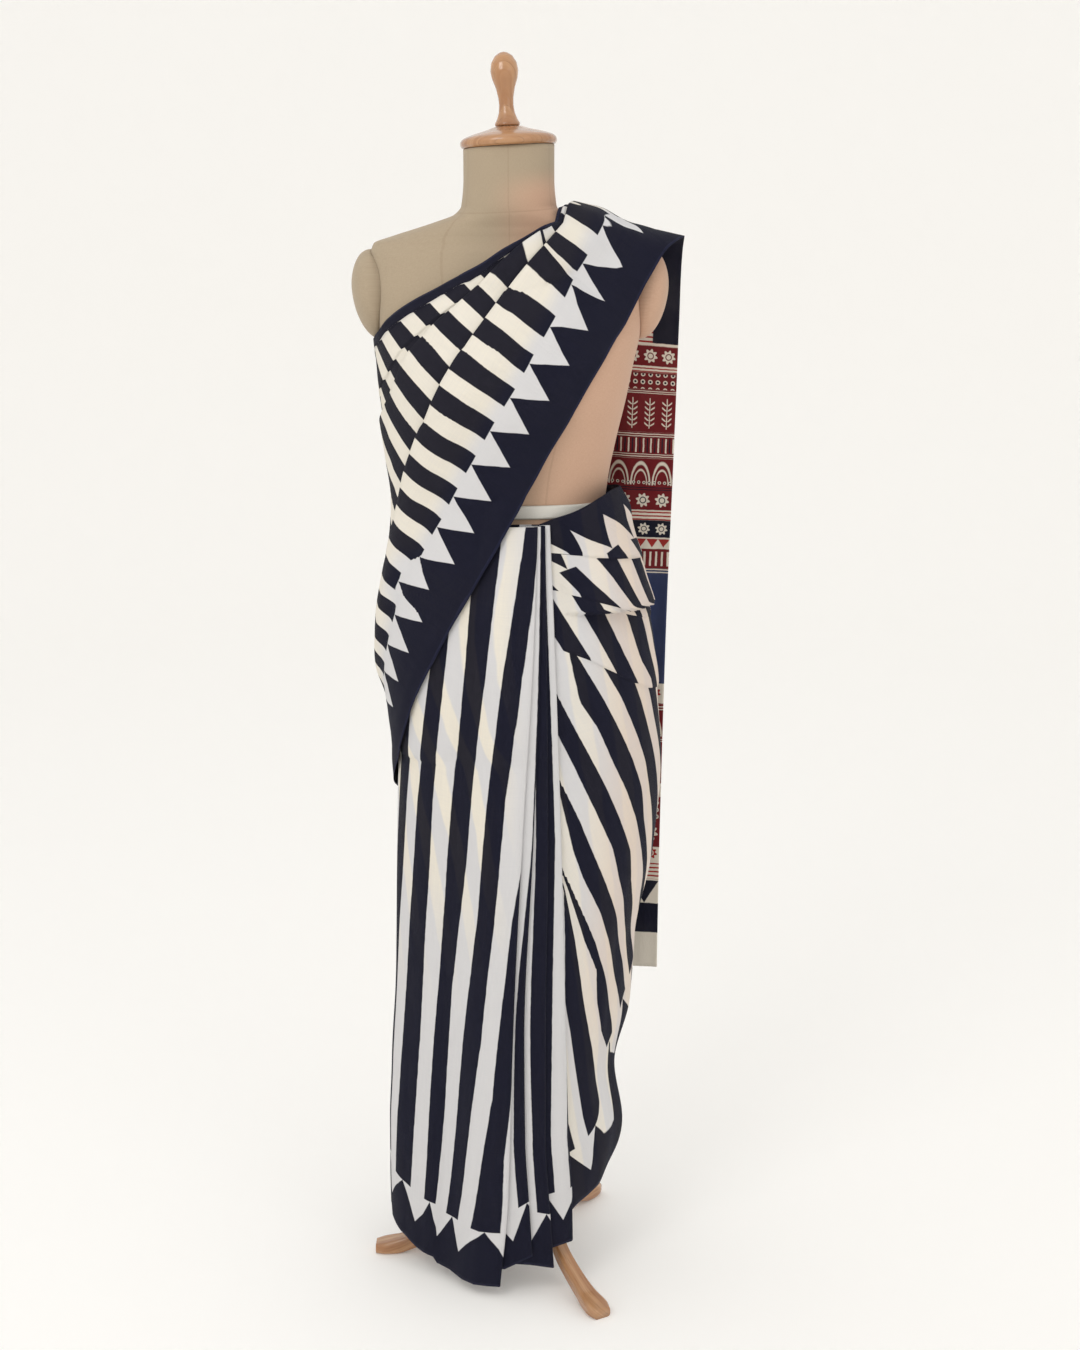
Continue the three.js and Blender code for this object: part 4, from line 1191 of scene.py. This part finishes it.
SKIRT_STRIPES = {
    -144: [(5, 576), (5, 504), (3, 418), (10, 373), (16, 328), (23, 282), (29, 239), (40, 191)],
    -119: [(5, 576), (18, 504), (24, 459), (30, 414), (38, 368), (47, 321), (58, 274), (64, 181)],
    -96: [(5, 592), (32, 500), (50, 455), (50, 409), (58, 362), (93, 308)],
    -71: [(7, 592), (47, 496), (66, 430), (85, 354), (98, 308)],
    -48: [(0, 722), (10, 671), (18, 629), (32, 586), (54, 540), (68, 496), (84, 444)],
    -23: [(2, 722), (26, 671), (42, 628), (61, 581), (78, 536), (95, 485)],
    0: [(-2, 829), (0, 791), (18, 751), (35, 712), (55, 666), (74, 623), (83, 581)],
    25: [(5, 831), (24, 792), (45, 749), (65, 707), (84, 664), (102, 617), (107, 574)],
    48: [(20, 897), (32, 828), (55, 791), (72, 749), (94, 705), (113, 658)],
    73: [(47, 857), (64, 828), (86, 786), (107, 741), (123, 699), (129, 655)],
    96: [(72, 860), (92, 827), (114, 781), (130, 739), (140, 696)],
    121: [(128, 818), (143, 774), (157, 732)],
}
drape_u = stripe_field(SKIRT_STRIPES, drape_arc, drape_z, lean=DRAPE_LEAN)
far_side = smooth(86, 120, drape_angle)
for line, field in zip(reversed(tuck_lines), (LOWER_STRIPES, MIDDLE_STRIPES, UPPER_STRIPES)):
    above_line = mix(stripe_field(field, drape_arc, drape_z, lean=DRAPE_LEAN), drape_u, far_side)
    drape_u = np.where(drape_z > line, above_line, drape_u)
# Distance in the laid-out cloth from each place to its two selvedges
drape_flat = np.stack([drape_arc, drape_z], axis=-1)
from_low = distance_to(drape_flat[-1, ::3], drape_flat)
from_high = distance_to(drape_flat[0, ::3], drape_flat) + TUCKED_EDGE * (1 - far_side)
add_cloth(
    "hip_turn",
    drape_grid,
    (drape_u, np.minimum(from_low, from_high)),
    "hip_drape",
    "cotton",
    # Painted warm light on the whites, higher up and round the right side of the hip
    painted_warm_light=0.6 * smooth(240, 480, drape_z) * smooth(35, 65, drape_angle),
    under=drape_arc + 0.12 * drape_z,
    show=0.7,
)


# Bodice drape
# Corners of the ribs across the drape, lower edge, main fold, second fold, upper edge: the first three ribs
# by their turn and four heights, the rest by x and z as seen from the front.
SIDE_RIBS = [
    [-114.5, 652, 856, 1084, 1190],
    [-102, 676, 868, 1100, 1240],
    [-91, 694, 884, 1113, 1266],
]
FRONT_RIBS = [
    [-134, 770, -152, 960, -160, 1160, -170, 1270],
    [-116, 825, -142, 1010, -150, 1190, -166, 1276],
    [-93, 873, -130, 1064, -140, 1210, -158, 1288],
    [-65, 927, -119, 1118, -131, 1232, -144, 1304],
    [-36, 977, -105, 1159, -122, 1253, -128, 1316],
    [-10, 1022, -88, 1197, -104, 1276, -106, 1329],
    [16, 1067, -70, 1234, -84, 1297, -82, 1341],
    [42, 1114, -48, 1266, -60, 1318, -56, 1355],
    [68, 1160, -24, 1300, -34, 1341, -28, 1370],
    [93, 1203, 0, 1333, -10, 1366, -2, 1387],
    [120, 1248, 24, 1364, 18, 1391, 26, 1402],
    [150, 1296, 48, 1392, 44, 1409, 50, 1416],
]
DRAPE_LAYERS = 4
UNDER_MAIN = 26
UPPER_BAND = 15.0
MAIN_STATION = 39
FOLD_TURN = 0.16
SMALL_PLEATS = 2
PLEAT_SHARES = [0.0, 0.5, 1.0]
UNDER_NEXT = 20


# Across the drape: distance from the lower edge, stand-off, and folds passed, over the main fold, the
# second fold and the small pleats
def accordion(lengths, pitch):
    main, following, upper = lengths
    under = min(UNDER_MAIN, main * 0.3)
    tuck = min(UNDER_NEXT, following - main + 12)
    ramp = main - min(80, main * 0.55)
    climb = main - under - 5
    stations = [(ramp * t, 0, 0) for t in np.linspace(0, 0.92, 24)]
    for t in np.linspace(0, 0.9, 10):
        d = mix(ramp, climb, t)
        stations.append((d, DRAPE_LAYERS * smooth(ramp, climb, d), 0))
    behind_main = main - under
    behind_second = following - tuck
    start = behind_second + FOLD_ROUND
    stop = upper - UPPER_BAND
    top = DRAPE_LAYERS
    spans = [
        (climb, main - FOLD_ROUND, 5, top, 0),
        (main, main, 1, top - 0.5, 0),
        (main - FOLD_ROUND, behind_main + FOLD_ROUND, 3, top - 1, 1),
        (behind_main, behind_main, 1, top - 1.5, 1),
        (behind_main + FOLD_ROUND, following - FOLD_ROUND, 14, top - 2, 1),
        (following, following, 1, top - 2.5, 1),
        (following - FOLD_ROUND, start, 3, top - 3, 2),
        (behind_second, behind_second, 1, top - 3.5, 2),
    ]
    for k in range(SMALL_PLEATS):
        left = mix(start, stop, PLEAT_SHARES[k]) + (1.0 if k else 0.0)
        spans.append((left, mix(start, stop, PLEAT_SHARES[k + 1]), 12, 0, 2 + k))
    spans.append((stop + 0.6, upper, 5, 0, 2 + SMALL_PLEATS))
    for low, high, count, lift, layer in spans:
        stations += [(d, lift, layer) for d in np.linspace(low, high, count)]
    values = np.array(stations, dtype=float)
    return values[:, 0], values[:, 1] * pitch, values[:, 2]


def surface_point(angle, z):
    return polar(angle, outer_radius(angle, z), z)


def surface_normal(angle, z):
    around = surface_point(angle + 1, z) - surface_point(angle - 1, z)
    up = surface_point(angle, z + 3) - surface_point(angle, z - 3)
    return unit(np.cross(around, up))


# Arc length round the outer surface from the centre front, read by angle and height.
TURN_STEP = 3.0
RISE_STEP = 20.0
RISE_LOW = 600.0
turn_grid, rise_grid = np.meshgrid(np.arange(-180, 181, TURN_STEP), np.arange(RISE_LOW, 1441, RISE_STEP))
ARC = arc_along(surface_point(turn_grid, rise_grid), 1)
ARC = ARC - ARC[:, ARC.shape[1] // 2][:, None]


def arc_at(angle, z):
    column = np.clip((np.asarray(angle) + 180) / TURN_STEP, 0, ARC.shape[1] - 1.001)
    row = np.clip((np.asarray(z) - RISE_LOW) / RISE_STEP, 0, ARC.shape[0] - 1.001)
    i, j = np.floor(row).astype(int), np.floor(column).astype(int)
    s, t = row - i, column - j
    near = ARC[i, j] * (1 - t) + ARC[i, j + 1] * t
    far = ARC[i + 1, j] * (1 - t) + ARC[i + 1, j + 1] * t
    return near * (1 - s) + far * s


front_ribs = np.array(FRONT_RIBS, dtype=float)
side_ribs = np.array(SIDE_RIBS, dtype=float)
side_angle = np.repeat(side_ribs[:, :1], 4, axis=1)
front_angle = angle_at(front_ribs[:, 0::2], front_ribs[:, 1::2], outer_radius)
corner_angle = np.concatenate([side_angle, front_angle])
corner_z = np.concatenate([side_ribs[:, 1:], front_ribs[:, 1::2]])
RIB_COUNT = len(corner_z)
rib_index = np.arange(RIB_COUNT)
corner_angle_at = [monotone(rib_index, column) for column in corner_angle.T]
corner_z_at = [monotone(rib_index, column) for column in corner_z.T]


# A row of the drape that lies on the form
def chart_row(position, pitch):
    angles = np.array([float(read(position)) for read in corner_angle_at])
    heights = np.array([float(read(position)) for read in corner_z_at])
    reach = arc_along(surface_point(angles, heights), 0)
    distance, lift, layer = accordion(reach[1:], pitch)
    angle = np.interp(distance, reach, angles)
    z = np.interp(distance, reach, heights)
    points = surface_point(angle, z) + surface_normal(angle, z) * lift[:, None]
    spread = np.stack([arc_at(angle, z), z], axis=-1)
    return points, distance, layer, reach, spread


# Rows of the drape that span free from edge to edge, over the shoulder and down the back
STRAIGHT = table(
    ["row", "edgeX", "edgeY", "edgeZ", "innerX", "innerY", "innerZ", "lean"],
    [
        [0, 176, -52, 1346, 62, -62, 1420, 35],
        [1, 206, -28, 1391, 68, -30, 1438, 66],
        [2, 227, 6, 1404, 74, 10, 1438, 90],
        [3, 228, 40, 1394, 73, 44, 1422, 130],
        [4, 228, 70, 1364, 72, 78, 1390, 158],
        [5, 228, 86, 1322, 70, 98, 1344, 172],
        [6, 227, 92, 1268, 67, 108, 1282, 180],
        [7, 225, 96, 1180, 62, 116, 1188, 180],
        [8, 222, 102, 1062, 58, 124, 1066, 180],
        [9, 219, 116, 940, 54, 142, 942, 180],
        [10, 217, 126, 820, 50, 158, 820, 180],
        [11, 215, 130, 690, 46, 164, 688, 180],
        [12, 213, 131, 540, 42, 165, 538, 180],
        [13, 212, 132, 380, 38, 166, 376, 180],
    ],
)


def straight_row(row, pitch):
    value = {name: float(read(row)) for name, read in STRAIGHT.items()}
    edge = np.array([value["edgeX"], value["edgeY"], value["edgeZ"]])
    inner = np.array([value["innerX"], value["innerY"], value["innerZ"]])
    width = float(np.linalg.norm(inner - edge))
    spread = float(smooth(4, 10, row))
    lean = math.radians(value["lean"])
    normal = np.array([0, -math.cos(lean), math.sin(lean)])
    main = width - mix(13, 52, spread)
    following = width - mix(6, 24, spread)
    distance, lift, layer = accordion([main, following, width], pitch)
    points = edge + (inner - edge) * (distance / width)[:, None] + normal * lift[:, None]
    return points, distance, layer, np.array([0, main, following, width]), np.zeros((len(distance), 2))


SHOULDER_ROW = 2
SEAM_ROWS = 0.07
BODICE_STEPS = 9
BODICE_PITCH = 3.0
chart_count = (RIB_COUNT - 1) * BODICE_STEPS + 1
rows = [chart_row(position, BODICE_PITCH) for position in np.linspace(0, RIB_COUNT - 1, chart_count)]
last_chart = rows[-1]
first_straight = straight_row(0, BODICE_PITCH)
for t in np.linspace(0, 1, BODICE_STEPS + 2)[1:-1]:
    rows.append(tuple(mix(a, b, t) for a, b in zip(last_chart, first_straight)))
for row in np.linspace(0, SHOULDER_ROW - SEAM_ROWS, 2 * BODICE_STEPS):
    rows.append(straight_row(row, BODICE_PITCH))
stacks = [np.stack(column) for column in zip(*rows)]
bodice_grid, bodice_distance, bodice_layer, bodice_reach, spread = stacks
lower_edge = bodice_grid[:, 0]
edge_run = arc_along(lower_edge, 0)
edge_tangent = unit(np.gradient(lower_edge, axis=0))
RIB_STATION = 12
rib_direction = unit(bodice_grid[:, RIB_STATION] - lower_edge)
skew = np.sum(edge_tangent * rib_direction, axis=1)[:, None]
rib_u = edge_run[:, None] + bodice_distance * skew
rib_v = bodice_distance * np.sqrt(1 - skew**2)
spread = spread[:chart_count]
spread_edge = spread[:, 0]
# Stripes run square to a straight line laid along the lower edge; bend is the edge's own distance from it.
CHORD_START = 46
CHORD_END = 112
chord = unit(spread_edge[CHORD_END] - spread_edge[CHORD_START])
square = np.array([-chord[1], chord[0]])
from_start = spread - spread_edge[CHORD_START]
along = from_start @ chord
edge_along = along[:, 0]
edge_bend = from_start[:, 0] @ square
bend = np.interp(along, edge_along, edge_bend)
bend_slope = np.interp(along, edge_along, np.gradient(edge_bend, edge_along))
gap = (from_start @ square - bend) / np.sqrt(1 + bend_slope**2)
blend_rows = smooth(10.5, 13.9, np.arange(chart_count) / BODICE_STEPS)[:, None]
bodice_run = rib_u - rib_u[chart_count - 1, 0] + edge_along[-1]
bodice_run[:chart_count] = mix(along, bodice_run[:chart_count], blend_rows)
bodice_v = rib_v.copy()
bodice_v[:chart_count] = mix(gap, rib_v[:chart_count], blend_rows)
# Where each arrow head's tip stands along the lower edge
TIP_RUNS = [-104, -63, -16, 33, 84, 135, 184, 231, 279, 326, 373, 419, 465, 515]
tip_u = DARK_WIDTH + (STRIPE_PITCH - DARK_WIDTH) / 2 + STRIPE_PITCH * np.arange(len(TIP_RUNS))
bodice_u = np.interp(bodice_run, TIP_RUNS, tip_u)
past_tips = np.minimum(0, bodice_run - TIP_RUNS[0]) + np.maximum(0, bodice_run - TIP_RUNS[-1])
past_main = bodice_layer >= 1
# Cloth taken up by the main fold and by the small pleats shifts the stripes beyond them
taken_up = np.where(past_main, STRIPE_PITCH / 2, 0.0) + 5.0 * np.maximum(0, bodice_layer - 1)
beyond_fold = np.where(past_main, np.maximum(0, bodice_v - bodice_v[:, [MAIN_STATION]]), 0)
bodice_u = bodice_u + 0.96 * past_tips + taken_up - FOLD_TURN * beyond_fold
from_upper = bodice_reach[:, 3:] - bodice_distance
upper_band = bodice_layer >= 2 + SMALL_PLEATS
bodice_v = np.where(upper_band, CUT_WIDTH - from_upper, np.minimum(bodice_v, CUT_WIDTH / 2))
bodice_normals = -row_normals(bodice_grid)
outward = bodice_grid - np.array([5.0, 0.0, 0.0])
outward[..., 2] = 0
inward = np.sum(bodice_normals * outward, axis=-1, keepdims=True) < 0
bodice_normals = np.where(inward, -bodice_normals, bodice_normals)
soft_fold = 1.3 * np.sin(bodice_distance / 15 + edge_run[:, None] / 260) * (bodice_layer == 0)
to_main = bodice_reach[:, 1:2] - bodice_distance
soft_fold = soft_fold * smooth(0, 30, bodice_distance) * smooth(0, 30, to_main)
STEP_LIFT = np.array([0, 0, 0.2, 1.6, 2.6])
pleat_step = STEP_LIFT[bodice_layer.astype(int)] * smooth(0, 2, from_upper)
bodice_grid = bodice_grid + bodice_normals * (np.maximum(0, soft_fold) + pleat_step)[..., None]
add_cloth(
    "bodice_turn",
    bodice_grid,
    (bodice_u, bodice_v),
    "bodice_drape",
    "cotton",
    under=36.0,
    show=0.9 * smooth(80, 105, bodice_v) * smooth(0, 25, from_upper),
)


# Pallu
PALLU_END = 380
pallu_rows = np.linspace(SHOULDER_ROW, 13, 187)
rows = [straight_row(row, float(mix(3, 4.5, smooth(4, 10, row)))) for row in pallu_rows]
pallu_grid, pallu_distance, pallu_layer = [np.stack(column) for column in zip(*rows)][:3]
pallu_down = arc_along(pallu_grid[:, 0], 0)[:, None]
pallu_height = PALLU_END + (pallu_down[-1] - pallu_down)
wide_sway = 2.4 * np.sin(pallu_distance / 16 + 0.8)
small_sway = 1.2 * np.sin(pallu_distance / 8 + pallu_height / 150)
sway = smooth(1300, 700, pallu_grid[..., 2]) * (wide_sway + small_sway)
sway = sway * (pallu_layer == 0) * smooth(0, 20, pallu_distance + 6)
pallu_grid[..., 1] += np.maximum(0, sway)
pallu_across = pallu_distance + 30 * (pallu_layer >= 1) + 26 * (pallu_layer >= 2)
pallu_place = (pallu_height, pallu_across)
add_cloth("pallu_fall", pallu_grid, pallu_place, "pallu", "pallu")


# Floor, backdrop, light and camera
FLOOR_RADIUS = 4800
BOWL_CURVE = 1200
BOWL_HEIGHT = 4600
FLOOR_RINGS = 9
curve = np.linspace(0.1, math.pi / 2, 16)
bowl_floor = np.linspace(0, FLOOR_RADIUS, FLOOR_RINGS)
bowl_curve = FLOOR_RADIUS + BOWL_CURVE * np.sin(curve)
profile_r = np.concatenate([bowl_floor, bowl_curve, [FLOOR_RADIUS + BOWL_CURVE]])
profile_z = np.concatenate([np.zeros(FLOOR_RINGS), BOWL_CURVE * (1 - np.cos(curve)), [BOWL_HEIGHT]])
bowl = polar(np.linspace(-180, 180, 97)[None, :], profile_r[:, None], profile_z[:, None])
backdrop = add_mesh("studio_bowl", bowl, {})
paper_paint = Paint("studio_paper", PAPER_SURFACE)
mottle = paper_paint.noise(None, 3.0) * 0.1
paper = paper_paint.done(paper_paint.blend(mottle, srgb(247, 246, 244), srgb(244, 243, 240)))
backdrop.data.materials.append(paper)


def area_light(name, place, target, size, power, colour):
    data = bpy.data.lights.new(name, "AREA")
    data.shape = "DISK"
    data.size = size
    data.energy = power
    data.color = colour
    obj = bpy.data.objects.new(name, data)
    obj.location = place
    x, y, z = np.array(target) - np.array(place)
    obj.rotation_euler = (math.atan2(math.hypot(x, y), -z), 0, math.atan2(x, -y) + math.pi)
    bpy.context.scene.collection.objects.link(obj)


bpy.context.scene.view_settings.view_transform = "Standard"
area_light("key", (-0.9, -1.6, 2.4), (0, 0, 1.25), 1.0, 11, (1.0, 0.99, 0.98))
area_light("fill", (1.6, -2.0, 1.9), (0, 0, 1.1), 1.4, 4, (1.0, 0.96, 0.92))
world = bpy.data.worlds.new("studio")
world.use_nodes = True
background = world.node_tree.nodes["Background"]
background.inputs[0].default_value = (0.962, 0.955, 0.94, 1.0)
background.inputs[1].default_value = 0.95
bpy.context.scene.world = world

CAMERA_PLACE = (0.044, -2.5, 1.369)
camera_data = bpy.data.cameras.new("camera")
camera_data.sensor_width = 36
camera_data.lens = 51.52
camera = bpy.data.objects.new("camera", camera_data)
camera.location = (CAMERA_PLACE[0] + float(SHIFT[0]), CAMERA_PLACE[1] + float(SHIFT[1]), CAMERA_PLACE[2])
camera.rotation_euler = (math.radians(78), 0, 0)
bpy.context.scene.collection.objects.link(camera)
bpy.context.scene.camera = camera
